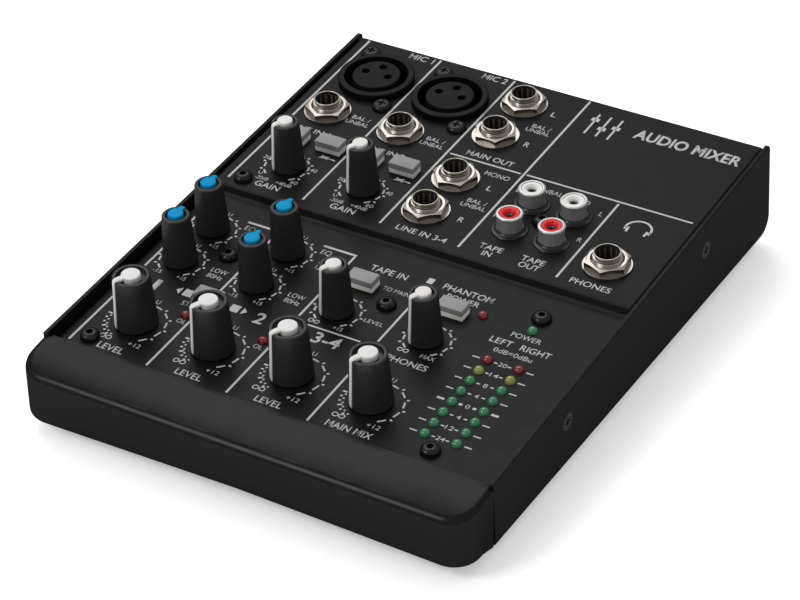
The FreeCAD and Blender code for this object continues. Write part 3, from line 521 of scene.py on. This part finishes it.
def print_stereo_block(ink):
    """Two arrows and two boxes beside the stereo button."""
    x, y = -43.2, 36.2
    for side in (-1, 1):
        tip, back = x + side * 12.95, x + side * 11.25
        corners = [(tip, y), (back, y + 1.65), (back, y - 1.65)]
        ink.polygon(corners if side < 0 else list(reversed(corners)))
        ink.rect(x + side * 6.95, x + side * 10.15, y - 1.7, y + 1.7)
    ink.centred("STEREO PAN", x, 15.7, 30.4, 2.1)


def print_eq_row(ink):
    """Brackets, rings and names of the tone controls of both channels."""
    for index, channel in enumerate(("1", "2")):
        shift = index * COLUMN_PITCH
        right = DIVIDER_X[index + 1]
        ink.rect(-55.15 + shift, right + LINE / 2, 75.65, 76.55)
        ink.text("EQ", -54.4 + shift, -50.7 + shift, 72.2, 2.2)
        for band, base in (("eq_low_", 45.95), ("eq_high_", 64.5)):
            x, y = joint_at(band + channel + "_turn")
            knob_ring(ink, x + 0.35, y, RING_SMALL)
            ink.centred("U", x + 0.7, 1.4, y + 8.3, 1.6)
            ink.centred("-15", x - 3.85, 3.1, y - 8.3, 1.7)
            ink.centred("+15", x + 5.05, 3.3, y - 8.3, 1.7)
            name = "LOW" if band == "eq_low_" else "HIGH"
            pitch = "80Hz" if band == "eq_low_" else "12kHz"
            ink.centred(name, -49.05 + shift, 5.8, base + 2.95, 2.05)
            ink.centred(pitch, -49.05 + shift, 5.5, base, 2.1)
    for x in DIVIDER_X[:3]:
        ink.rect(x - LINE / 2, x + LINE / 2, 42.0, 76.0)


def print_tape_and_phones(ink):
    """Scales and names of the tape and phones levels and of the buttons by them."""
    tape_x, tape_y = joint_at("tape_level_turn")
    phones_x, phones_y = joint_at("phones_level_turn")
    knob_ring(ink, tape_x + 0.4, tape_y, RING_SMALL)
    knob_ring(ink, phones_x + 0.6, phones_y, RING_SMALL)
    ink.infinity(tape_x - 3.8, 41.9, 3.5, 1.5)
    ink.centred("+15", tape_x + 4.8, 3.3, 41.0, 1.7)
    ink.infinity(phones_x - 3.7, 41.9, 3.5, 1.5)
    ink.centred("MAX", phones_x + 4.9, 4.8, 41.0, 1.8)
    ink.text("TAPE IN", -7.95, 5.15, 72.0, 2.7)
    ink.text("TO MAIN", 0.85, 10.2, 64.9, 1.9)
    ink.text("LEVEL", 3.8, 10.55, 48.5, 1.7)
    ink.rect(-10.45, 8.25, 39.15, 39.8)
    ink.rect(DIVIDER_X[3] - LINE / 2 - 0.15, DIVIDER_X[3] + LINE / 2 - 0.15, 42.0, 72.0)
    ink.rect(11.3, 13.45, 73.95, 76.6)
    ink.text("PHANTOM", 17.25, 34.75, 73.65, 2.65)
    ink.text("POWER", 20.35, 31.85, 69.9, 2.4)
    ink.text("PHONES", 18.8, 32.85, 35.8, 2.5)


METER_ROWS = ("24", "12", "4", "0", "4", "8", "14", "20")


def print_meter(ink):
    """Names, numbers and marks of the two rows of lamps."""
    ink.text("POWER", 47.15, 57.25, 62.4, 2.2)
    ink.text("LEFT", 42.45, 49.95, 57.5, 2.6)
    ink.text("RIGHT", 52.75, 62.95, 57.5, 2.6)
    ink.text("0dB=0dBu", 45.85, 58.85, 53.65, 2.0)
    for row, number in enumerate(METER_ROWS):
        y = 11.2 + 5.39 * row
        half = 0.45 if number == "0" else 0.24
        for x0, x1 in ((41.65, 44.15), (49.0, 50.15), (53.65, 54.8), (59.85, 62.3)):
            ink.rect(x0, x1, y - half, y + half)
        ink.centred(number, 52.0, 2.8 if len(number) == 2 else 1.35, y - 0.9, 1.8)


def print_inputs(ink):
    """Dividers and names of the two microphone channels on the upper panel."""
    for index in range(2):
        shift = index * COLUMN_PITCH
        number = str(index + 1)
        ink.text("MIC " + number, -54.65 + shift, -45.35 + shift, 177.95, 2.9)
        ink.text("BAL /", -53.35 + shift, -46.6 + shift, 137.8, 2.0)
        ink.text("UNBAL", -54.35 + shift, -45.65 + shift, 134.95, 2.0)
        ink.centred("LINE IN " + number, -61.75 + shift, 14.5, 124.5, 2.3)
        guitar(ink, -48.5 + shift, 114.05)
        ink.text("GAIN", -62.35 + shift, -53.25 + shift, 90.95, 2.65)
        ink.text("-20dB", -64.15 + shift, -59.35 + shift, 94.4, 1.7)
        ink.text("+40dB", -56.5 + shift, -50.55 + shift, 94.4, 1.7)
        ink.text("U", -64.5 + shift, -63.1 + shift, 96.9, 1.5)
        ink.text("60", -52.15 + shift, -49.65 + shift, 96.6, 1.8)
        ink.centred("20", -66.4 + shift, 2.5, 105.15, 1.8)
        ink.centred("40", -48.75 + shift, 2.5, 105.15, 1.8)
        knob_ring(ink, -57.75 + shift, 104.0, RING_SMALL)
    for x in (-71.9, -43.54, -15.0, 13.35):
        ink.rect(x - LINE / 2, x + LINE / 2, 90.9, 181.3)
    ink.rect(47.9 - LINE / 2, 47.9 + LINE / 2, 90.9, 133.6)
    ink.rect(-13.85, 12.25, 134.1, 134.8)
    ink.rect(14.3, 73.25, 134.35, 135.05)


def print_outputs(ink):
    """Names of the quarter-inch and phono sockets right of the microphone channels."""
    ink.text("MAIN OUT", -9.3, 7.95, 136.4, 2.5)
    ink.text("LINE IN 3-4", -9.3, 8.7, 90.65, 2.5)
    ink.text("L", 5.25, 6.95, 167.8, 2.5)
    ink.text("BAL /", 2.75, 9.5, 159.5, 2.0)
    ink.text("UNBAL", 1.65, 10.35, 156.9, 2.0)
    ink.text("R", 5.35, 7.25, 148.5, 2.5)
    ink.text("MONO", 1.65, 10.55, 128.9, 2.2)
    ink.text("L", 6.35, 8.05, 121.5, 2.5)
    ink.text("BAL /", 3.85, 10.6, 113.5, 2.0)
    ink.text("UNBAL", 2.75, 11.65, 110.8, 2.0)
    ink.text("R", 6.3, 8.2, 102.65, 2.5)
    ink.text("TAPE", 18.85, 27.0, 93.9, 2.5)
    ink.text("IN", 21.5, 24.65, 90.65, 2.5)
    ink.text("TAPE", 33.65, 41.85, 93.9, 2.5)
    ink.text("OUT", 34.3, 41.5, 90.65, 2.5)
    ink.text("UNBALANCED", 20.9, 39.75, 128.6, 2.2)
    for x in (15.3, 44.8):
        ink.text("L", x, x + 1.3, 125.15, 2.2)
        ink.text("R", x, x + 1.6, 109.95, 2.2)
    headphones(ink, 59.4, 124.1, 4.3)
    ink.text("PHONES", 52.25, 66.15, 90.65, 2.5)


def print_title(ink):
    """A plain fader symbol and the kind of thing this is."""
    x, y = 24.0, 170.0
    for index, height in enumerate((2.6, -1.4, 0.8)):
        column = x + (index - 1) * 4.2
        ink.rect(column - 0.35, column + 0.35, y - 6.0, y + 6.0)
        ink.rect(column - 1.4, column + 1.4, y + height - 0.9, y + height + 0.9)
    ink.text("AUDIO MIXER", 35.0, 72.9, 168.9, 4.9, weight=0.03)


lower_ink = Print(LOWER)
print_level_row(lower_ink)
print_stereo_block(lower_ink)
print_eq_row(lower_ink)
print_tape_and_phones(lower_ink)
print_meter(lower_ink)
lower_ink.done("lower_panel_print")

upper_ink = Print(UPPER)
print_inputs(upper_ink)
print_outputs(upper_ink)
print_title(upper_ink)
upper_ink.done("upper_panel_print")


# ---- moulded and turned pieces ---------------------------------------------------------------
def rounded_rect(half_x, half_y, radius):
    """Corners of a rounded rectangle about the origin, anticlockwise."""
    corners = []
    for cx, cy, start in ((1, 1, 0), (-1, 1, 90), (-1, -1, 180), (1, -1, 270)):
        corners += arc_points(cx * (half_x - radius), cy * (half_y - radius), radius,
                              start, start + 90, 4)
    return corners


def loft(bm, rings):
    """Closed solid through rings of (x, y, z) points, capped at both ends."""
    built = [[bm.verts.new(point) for point in ring] for ring in rings]
    bm.faces.new(list(reversed(built[0])))
    bm.faces.new(built[-1])
    count = len(built[0])
    for lower, upper in zip(built, built[1:]):
        for i in range(count):
            j = (i + 1) % count
            bm.faces.new((lower[i], lower[j], upper[j], upper[i]))


def button_part(bm, x, y, half_x, half_y, low, high, edge):
    """Block with softened upper edges."""
    rings = []
    for inset, z in ((0.0, low), (0.0, high - edge),
                     (edge * 0.3, high - edge * 0.3), (edge, high)):
        outline = rounded_rect(half_x - inset, half_y - inset, 0.35)
        rings.append([(x + cx, y + cy, z) for cx, cy in outline])
    loft(bm, rings)


BUTTON_SPLIT = 2.0                 # height of the darker cap of a button
BUTTON_HEIGHT = 5.4                # whole block, above its plunger
WARM_BASES = ("button_stereo_pan", "button_tape_to_main", "button_phantom_power")


def make_buttons():
    """Each button is a grey cap on a paler base, with its plunger below."""
    for name in [node for node in NODES if node.startswith("button_")]:
        low, high = node_box(name)
        x, y = (low[0] + high[0]) / 2, (low[1] + high[1]) / 2
        half_x, half_y = (high[0] - low[0]) / 2, (high[1] - low[1]) / 2
        top = high[2]
        split = top - BUTTON_SPLIT
        cap = bmesh.new()
        button_part(cap, x, y, half_x, half_y, split, top, 0.22)
        cap_piece = piece(name + "_cap", cap, "button_top", body=name)
        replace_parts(cap_piece, name)
        base = bmesh.new()
        button_part(base, x, y, half_x - 0.04, half_y - 0.04, top - BUTTON_HEIGHT, split, 0.04)
        bar(base, x - 1.2, x + 1.2, y - 1.2, y + 1.2, low[2], top - BUTTON_HEIGHT)
        shade = "button_base_warm" if name in WARM_BASES else "button_base_cool"
        piece(name + "_base", base, shade, body=name)


JACKS = {
    "line_in_1": (-62.4, 137.6),
    "line_in_2": (-34.46, 137.6),
    "main_out_left": (-5.3, 169.6),
    "main_out_right": (-5.3, 149.7),
    "line_in_3": (-5.1, 122.5),
    "line_in_4": (-5.1, 103.1),
    "phones": (59.3, 103.15),
}
JACK_FOOT = -20.0                  # underside of the jack housings
JACK_THREAD_TOP = 4.1              # above the upper panel
THREAD_PITCH = 0.5
JACK_INNER = 3.98
PANEL_UNDER = STEP - 1.2           # underside of the upper panel


def jack_nose_profile():
    """Thread, neck and rolled lip outside, plain wall inside."""
    profile = [(4.70, PANEL_UNDER)]
    z = STEP + 0.2
    while z < STEP + JACK_THREAD_TOP - THREAD_PITCH:
        profile += [(4.70, z), (4.70, z + 0.12), (4.52, z + 0.28), (4.52, z + 0.34)]
        z += THREAD_PITCH
    profile += [(4.66, STEP + 3.9), (4.62, STEP + JACK_THREAD_TOP), (4.2, STEP + 4.22),
                (4.14, STEP + 4.5), (4.18, STEP + 4.85)]
    profile += arc_points(4.18, STEP + 5.2, 0.22, -60, 90, 6)
    profile += arc_points(4.14, STEP + 5.26, 0.16, 100, 180, 3)
    profile += [(JACK_INNER, STEP + 5.0), (JACK_INNER, PANEL_UNDER)]
    return profile


def make_jacks():
    """Turned noses, dark bores with their contact strips, and square housings below."""
    noses, bores, strips, housings = (bmesh.new() for _ in range(4))
    profile = jack_nose_profile()
    for x, y in JACKS.values():
        lathe(noses, x, y, profile, 72)
        lathe(bores, x, y, [(3.96, PANEL_UNDER), (3.96, STEP + 5.2), (3.80, STEP + 5.2),
                            (3.80, JACK_FOOT + 0.6), (0.01, JACK_FOOT + 0.6),
                            (0.01, JACK_FOOT + 0.1), (3.96, JACK_FOOT + 0.1)], 48)
        for k in range(12):
            turn = math.radians(30 * k + 8)
            out = Vector((math.cos(turn), math.sin(turn)))
            side = Vector((-out.y, out.x)) * 0.27
            inner, outer = out * 3.62, out * 3.82
            slab(strips, [(x + q.x, y + q.y) for q in
                          (inner - side, outer - side, outer + side, inner + side)],
                 JACK_FOOT + 2.0, STEP + 4.2)
        square = rounded_rect(7.5, 7.5, 0.4)
        count = len(square)
        hole = [(3.97 * math.cos(t), 3.97 * math.sin(t))
                for t in (2 * math.pi * i / count for i in range(count))]
        rings = []
        for outline, z in ((hole, JACK_FOOT), (square, JACK_FOOT), (square, STEP - 1.25),
                           (hole, STEP - 1.25)):
            rings.append([housings.verts.new((x + cx, y + cy, z)) for cx, cy in outline])
        for k in range(4):
            lower, upper = rings[k], rings[(k + 1) % 4]
            for i in range(count):
                j = (i + 1) % count
                housings.faces.new((lower[i], lower[j], upper[j], upper[i]))
    nose_piece = piece("jack_noses", noses, "nickel")
    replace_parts(nose_piece, "jack_bodies")
    piece("jack_bores", bores, "bore")
    piece("jack_contacts", strips, "spring", smooth=0)
    piece("jack_housings", housings, "dark_plastic")


RCA_X = (23.45, 38.35)
RCA_Y = (106.3, 121.3)
RCA_TOP = STEP + 6.6
RCA_FOOT = -19.9                   # underside of the phono bodies
RCA_TUBE_FOOT = -6.0               # lower end of shell, insulator and sleeve


def make_phono():
    """Phono sockets: black foot, bright rolled shell, coloured insulator and centre sleeve."""
    feet, shells, sleeves = (bmesh.new() for _ in range(3))
    inserts = {RCA_Y[1]: bmesh.new(), RCA_Y[0]: bmesh.new()}
    for y in RCA_Y:
        for x in RCA_X:
            lathe(feet, x, y, [(6.55, RCA_FOOT), (6.55, STEP - 1.25), (5.95, PANEL_UNDER),
                               (5.95, STEP + 0.25), (5.78, STEP + 0.42), (5.35, STEP + 0.46),
                               (4.95, STEP + 0.56), (4.65, STEP + 0.78), (4.42, STEP + 1.10),
                               (4.10, STEP + 1.10), (4.10, RCA_FOOT)], 64)
            outer = [(4.08, RCA_TUBE_FOOT), (4.06, STEP + 5.45), (4.16, STEP + 5.66)]
            outer += arc_points(4.14, STEP + 6.14, 0.30, -60, 60, 6)
            outer += [(4.02, STEP + 6.54), (3.80, RCA_TOP),
                      (3.56, STEP + 6.56), (3.44, STEP + 6.40)]
            lathe(shells, x, y, outer + [(3.42, STEP + 6.0), (3.42, RCA_TUBE_FOOT)], 64)
            lathe(inserts[y], x, y, [(3.41, RCA_TUBE_FOOT), (3.41, STEP + 6.20),
                                     (3.30, STEP + 6.36), (2.34, STEP + 6.40),
                                     (2.18, STEP + 6.32), (1.50, STEP + 5.62),
                                     (1.45, STEP + 5.50), (1.45, RCA_TUBE_FOOT)], 64)
            lathe(sleeves, x, y, [(1.44, RCA_TUBE_FOOT), (1.44, STEP + 5.0), (1.30, STEP + 5.1),
                                  (1.12, STEP + 4.9), (1.12, RCA_TUBE_FOOT)], 32)
    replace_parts(piece("phono_feet", feet, "rca_base"), "rca_bodies")
    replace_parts(piece("phono_shells", shells, "chrome"), "rca_shells")
    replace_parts(piece("phono_inserts_white", inserts[RCA_Y[1]], "rca_white"),
                "rca_inserts_white")
    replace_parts(piece("phono_inserts_red", inserts[RCA_Y[0]], "rca_red"),
                "rca_inserts_red")
    piece("phono_sleeves", sleeves, "sleeve")


BUMPER_HALF = 77.8
BUMPER_FRONT = -19.95
BUMPER_REAR = -3.0
BUMPER_SEAM = -4.05                # where the side walls of the case begin
BUMPER_TOP = 3.0
BUMPER_RIDGE = 0.2
BUMPER_CORNER = 9.0                # plan radius of the front corners
BUMPER_EDGE = 2.3                  # rounding between top and front
BUMPER_TONGUE = 74.6               # half width of the part between the side walls
BUMPER_LUG_X = 48.0                # screw lugs, left and right
SOLE_FRONT, SOLE_CORNER = 5.6, 3.4   # rounding under the middle of the front and its ends
SOLE_SIDE, SOLE_SEAM = 3.2, 0.8      # rounding under the sides and at the seam
CORNER_STEPS, FRONT_STEPS, EDGE_STEPS = 14, 12, 8
LEAN = math.tan(math.acos(NORMAL.z))


def bumper_top_at(y):
    """Height of the gently arched top of the bumper."""
    depth, rise = BUMPER_REAR - BUMPER_FRONT, BUMPER_TOP - BUMPER_RIDGE
    radius = (depth ** 2 + rise ** 2) / (2.0 * rise)
    return BUMPER_TOP - radius + math.sqrt(radius ** 2 - (y - BUMPER_REAR) ** 2)


def bumper_base_at(y):
    """Height of the level underside, which slopes in the panel frame."""
    return -25.03 - LEAN * (y - 100.0)


def bumper_half_outline(inset):
    """Left half of the plan outline from the seam to the middle of the front: (x, y, share).

    share goes from 0 on the side to 1 at the end of the front and 2 at its middle, and is -1
    at the seam.
    """
    radius = BUMPER_CORNER - inset
    cx, cy = -BUMPER_HALF + inset + radius, BUMPER_FRONT + inset + radius
    points = [(-BUMPER_HALF + inset, BUMPER_SEAM, -1.0), (-BUMPER_HALF + inset, cy + 1.5, 0.0)]
    for i in range(CORNER_STEPS + 1):
        turn = math.radians(180.0 + 90.0 * i / CORNER_STEPS)
        points.append((cx + radius * math.cos(turn), cy + radius * math.sin(turn),
                       i / CORNER_STEPS))
    for i in range(1, FRONT_STEPS + 1):
        points.append((cx + (-2.0 - cx) * i / FRONT_STEPS, BUMPER_FRONT + inset,
                       1.0 + i / FRONT_STEPS))
    return points


def bumper_ring(bm, inset, height):
    """One ring of the bumper; height is a function of (y, share)."""
    points = []
    for x, y, share in bumper_half_outline(inset):
        z = height(y, share)
        points.append((x, y - (BUMPER_RIDGE - z) * LEAN, z))
    points += [(-x, y, z) for x, y, z in reversed(points)]
    return [bm.verts.new(point) for point in points]


def sole_radius(share):
    """Tight at the seam, even round the corner, growing to the middle of the front."""
    if share < 0.0:
        return SOLE_SEAM
    if share < 1.0:
        return SOLE_SIDE + (SOLE_CORNER - SOLE_SIDE) * share
    return SOLE_CORNER + (SOLE_FRONT - SOLE_CORNER) * (share - 1.0)


def make_bumper():
    """Moulded front bumper: arched top, rounded ridge, upright face and a rounded sole."""
    bm = bmesh.new()
    rings = []
    for i in range(EDGE_STEPS + 1):
        turn = math.radians(90.0 * i / EDGE_STEPS)
        inset = BUMPER_EDGE * (1.0 - math.sin(turn))
        drop = BUMPER_EDGE * (1.0 - math.cos(turn)) * 0.8
        rings.append(bumper_ring(bm, inset, lambda y, share, d=drop: bumper_top_at(y) - d))
    for i in range(EDGE_STEPS + 1):
        turn = math.radians(90.0 * i / EDGE_STEPS)

        def low(y, share, t=turn):
            return bumper_base_at(y) + sole_radius(share) * (1.0 - math.sin(t))

        ring = bumper_ring(bm, 0.0, low)
        count = len(ring)
        for k, vertex in enumerate(ring):
            x, y, share = bumper_half_outline(0.0)[min(k, count - 1 - k)]
            inset = sole_radius(share) * (1.0 - math.cos(turn))
            inner = bumper_half_outline(min(inset, BUMPER_CORNER - 0.5))[min(k, count - 1 - k)]
            side = 1 if k < count // 2 else -1
            vertex.co.x = side * inner[0]
            vertex.co.y += inner[1] - y
        rings.append(ring)
    count = len(rings[0])
    for upper, lower in zip(rings, rings[1:]):
        for k in range(count - 1):
            bm.faces.new((upper[k], upper[k + 1], lower[k + 1], lower[k]))
    for ring in (rings[0], rings[-1]):
        for k in range(count // 2 - 1):
            bm.faces.new((ring[k], ring[k + 1], ring[count - 2 - k], ring[count - 1 - k]))
    bm.faces.new([ring[0] for ring in rings] + [ring[-1] for ring in reversed(rings)])
    overlap = BUMPER_SEAM - 0.02
    bar(bm, -BUMPER_TONGUE, BUMPER_TONGUE, overlap, BUMPER_REAR, -15.0, BUMPER_TOP - 0.004)
    for x in (-BUMPER_LUG_X, BUMPER_LUG_X):
        bar(bm, x - 5.0, x + 5.0, overlap, 6.5, -16.9, -12.5)
    moulding = piece("bumper_moulding", bm, "bumper", smooth=0.5)
    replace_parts(moulding, "front_bumper")


LARGE_KNOB = (6.84, 5.85, 18.39, 3.0)   # radius below and above, height, radius of the hub
SMALL_KNOB = (5.53, 4.49, 17.98, 2.5)
LARGE_NAMES = ("level_1", "level_2", "level_3_4", "main_mix")
KNOB_FOOT = 0.6                    # gap under the knob
KNOB_DISH = 1.3                    # depth of the hollow in its top
SHAFT_FOOT = -6.0
LOW_STOP = 210.0                   # where a level pointer rests, clockwise from the rear


def knob_profile(base, top, height):
    """Tapered side with a soft top edge, broad rim and dished middle."""
    taper = (base - top) / (height - KNOB_FOOT)
    profile = [(base - 0.25, KNOB_FOOT), (base, KNOB_FOOT + 0.25)]
    for z in (3.0, 6.0, 9.0, 12.0, 15.0):
        profile.append((base - taper * (z - KNOB_FOOT), z))
    profile += arc_points(top - 0.5, height - 0.5, 0.5, 4, 86, 6)
    profile += arc_points(top - 1.05, height - 0.2, 0.2, 90, 180, 3)
    profile += [(top - 1.25, height - KNOB_DISH + 0.15), (top - 1.4, height - KNOB_DISH),
                (0.01, height - KNOB_DISH), (0.01, height - 4.6), (3.0, height - 4.6),
                (3.0, 4.0), (base - 1.3, 4.0), (base - 1.3, KNOB_FOOT)]
    return profile


def pointer_arm(bm, base, top, height):
    """Rounded strip that leaves the hub, turns over the rim and runs down the side."""
    taper = (base - top) / (height - KNOB_FOOT)

    def flank(z):
        return top + taper * (height - z)

    path = [                       # y, z, slope of the outer face in degrees, width
        (0.8, height + 0.60, 90, 2.1), (top - 1.5, height + 0.55, 88, 1.95),
        (top - 0.6, height + 0.46, 80, 1.75), (top - 0.1, height + 0.26, 58, 1.6),
        (top + 0.18, height - 0.08, 28, 1.5), (top + 0.27, height - 0.6, 4, 1.45),
        (flank(height - 3.0) + 0.24, height - 3.0, 3, 1.4), (flank(9.0) + 0.3, 9.0, 3, 1.35),
        (flank(5.0) + 0.42, 5.0, 2, 1.3), (flank(2.6) + 0.42, 2.6, -4, 1.3),
        (flank(1.5) + 0.3, 1.5, -18, 1.25), (flank(0.9) + 0.08, 0.9, -45, 1.1),
    ]
    rings = []
    for y, z, slope, width in path:
        turn = math.radians(slope)
        out = Vector((math.cos(turn), math.sin(turn)))
        half = width / 2
        ring = []
        for x, sink in ((-half, 0.9), (-half, 0.3), (-half + 0.1, 0.1), (-half + 0.3, 0.0),
                        (half - 0.3, 0.0), (half - 0.1, 0.1), (half, 0.3), (half, 0.9)):
            ring.append((x, y - out.x * sink, z - out.y * sink))
        rings.append(ring)
    loft(bm, rings)


def make_knobs():
    """Turned knobs with their shafts, and the light pointers that they carry."""
    for name in [node[5:] for node in NODES if node.startswith("knob_")]:
        base, top, height, hub = LARGE_KNOB if name in LARGE_NAMES else SMALL_KNOB
        x, y = joint_at(name + "_turn")
        level = UPPER if name.startswith("gain") else LOWER
        turn = 0.0 if name.startswith("eq_") else LOW_STOP
        place = Matrix.Translation((x, y, level)) @ Matrix.Rotation(-math.radians(turn), 4, "Z")
        body = bmesh.new()
        lathe(body, 0.0, 0.0, knob_profile(base, top, height), 72)
        lathe(body, 0.0, 0.0, [(2.98, SHAFT_FOOT), (2.98, height - 4.7),
                               (0.01, height - 4.7), (0.01, SHAFT_FOOT)], 32)
        bmesh.ops.transform(body, matrix=place, verts=body.verts)
        turned = piece("knob_body_" + name, body, "knob", body="knob_" + name)
        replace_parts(turned, "knob_" + name)
        insert = bmesh.new()
        lathe(insert, 0.0, 0.0, [(0.01, height - 2.4), (hub, height - 2.4)]
              + arc_points(hub - 0.4, height + 0.3, 0.4, 0, 80, 6) + [(0.01, height + 0.74)], 56)
        pointer_arm(insert, base, top, height)
        bmesh.ops.transform(insert, matrix=place, verts=insert.verts)
        shade = "pointer_blue" if name.startswith("eq_") else "pointer_white"
        made = piece("knob_pointer_" + name, insert, shade, body="knob_" + name)
        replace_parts(made, "pointer_" + name)


XLR_X = (-57.2, -28.7)
XLR_Y = 160.93
XLR_TOP = STEP + 2.6
XLR_CONTACTS = ((-4.3, 0.3), (0.0, 4.8), (4.3, 0.3))
CORE_FOOT = -13.0
CORE_FLAT = 7.4                    # radius of the core's flat top
WELL_RADIUS = 1.48
WELL_DEPTH = 12.0


def make_socket_cores():
    """Round insulators of the microphone sockets with their three contact wells."""
    cores, wells = bmesh.new(), bmesh.new()

    def closed_ring(x, y, radius, steps):
        """Edges of a circle on the core's top."""
        ring = [cores.verts.new((x + radius * math.cos(2 * math.pi * i / steps),
                                 y + radius * math.sin(2 * math.pi * i / steps), XLR_TOP))
                for i in range(steps)]
        return [cores.edges.new((ring[i], ring[(i + 1) % steps])) for i in range(steps)]

    for x in XLR_X:
        lathe(cores, x, XLR_Y, [(8.2, CORE_FOOT), (8.2, XLR_TOP - 0.5)]
              + arc_points(7.75, XLR_TOP - 0.45, 0.45, 10, 90, 5)
              + [(CORE_FLAT, XLR_TOP), (CORE_FLAT, CORE_FOOT)], 72)
        edges = closed_ring(x, XLR_Y, CORE_FLAT + 0.01, 72)
        for dx, dy in XLR_CONTACTS:
            edges += closed_ring(x + dx, XLR_Y + dy, WELL_RADIUS, 32)
            lathe(wells, x + dx, XLR_Y + dy, [
                (1.47, XLR_TOP - 0.02), (1.75, XLR_TOP - 0.3), (1.75, XLR_TOP - WELL_DEPTH),
                (0.01, XLR_TOP - WELL_DEPTH), (0.01, XLR_TOP - 11.6), (1.47, XLR_TOP - 11.6)], 32)
        filled = bmesh.ops.triangle_fill(cores, edges=edges, use_beauty=True)["geom"]
        faces = [item for item in filled if isinstance(item, bmesh.types.BMFace)]
        below = bmesh.ops.extrude_face_region(cores, geom=faces, use_keep_orig=True)["geom"]
        for vertex in [item for item in below if isinstance(item, bmesh.types.BMVert)]:
            vertex.co.z -= 1.0
    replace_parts(piece("socket_cores", cores, "core", smooth=0.5), "xlr_inserts")
    piece("socket_wells", wells, "core")


make_knobs()
make_socket_cores()
make_bumper()
make_buttons()
make_jacks()
make_phono()


# ---- floor, light and camera -----------------------------------------------------------------
FLOOR_HALF = 3.0


def studio():
    """Pale floor, even surround and two soft boxes."""
    floor_mesh = bpy.data.meshes.new("floor")
    corners = [(x * FLOOR_HALF, y * FLOOR_HALF, 0) for x, y in ((-1, -1), (1, -1), (1, 1), (-1, 1))]
    floor_mesh.from_pydata(corners, [], [(0, 1, 2, 3)])
    floor = bpy.data.objects.new("floor", floor_mesh)
    bpy.context.scene.collection.objects.link(floor)
    pale = finish_material("pale_floor", (0.93, 0.93, 0.93), 0.8, 0.02, tone=0.01,
                           specular=0.1, glow=0.35)
    floor_mesh.materials.append(pale)
    world = bpy.data.worlds.new("studio")
    bpy.context.scene.world = world
    world.use_nodes = True
    background = world.node_tree.nodes["Background"]
    background.inputs["Color"].default_value = (1.0, 1.0, 1.0, 1.0)
    background.inputs["Strength"].default_value = 0.68
    add_area("key", (-0.66, -0.96, 1.06), 0.5, 7.5)
    add_area("sky", (-0.60, 0.60, 1.15), 1.0, 11.0)


def add_area(name, place, size, power):
    """Soft box facing the console."""
    light = bpy.data.lights.new(name, "AREA")
    light.shape = "RECTANGLE"
    light.size = size
    light.size_y = size
    light.energy = power
    lamp = bpy.data.objects.new(name, light)
    bpy.context.scene.collection.objects.link(lamp)
    lamp.location = place
    aim = Vector((0.0, 0.0, 0.03)) - Vector(place)
    lamp.rotation_euler = aim.to_track_quat("-Z", "Y").to_euler()


CAMERA_AT = (0.38624, -0.65528, 0.53655)
CAMERA_AZIMUTH = 30.74             # degrees, from straight in front towards the right
CAMERA_ELEVATION = 34.61
CAMERA_ROLL = -1.02
LENS = 131.67
SENSOR = 36.0


def camera():
    """The photograph's viewpoint."""
    data = bpy.data.cameras.new("camera")
    data.lens = LENS
    data.sensor_width = SENSOR
    data.clip_start = 0.05
    viewer = bpy.data.objects.new("camera", data)
    bpy.context.scene.collection.objects.link(viewer)
    around = Matrix.Rotation(math.radians(CAMERA_AZIMUTH), 4, "Z")
    tip = Matrix.Rotation(math.radians(90.0 - CAMERA_ELEVATION), 4, "X")
    roll = Matrix.Rotation(math.radians(CAMERA_ROLL), 4, "Z")
    viewer.matrix_world = Matrix.Translation(Vector(CAMERA_AT)) @ around @ tip @ roll
    bpy.context.scene.camera = viewer


studio()
camera()
bpy.context.scene.view_settings.view_transform = "Standard"
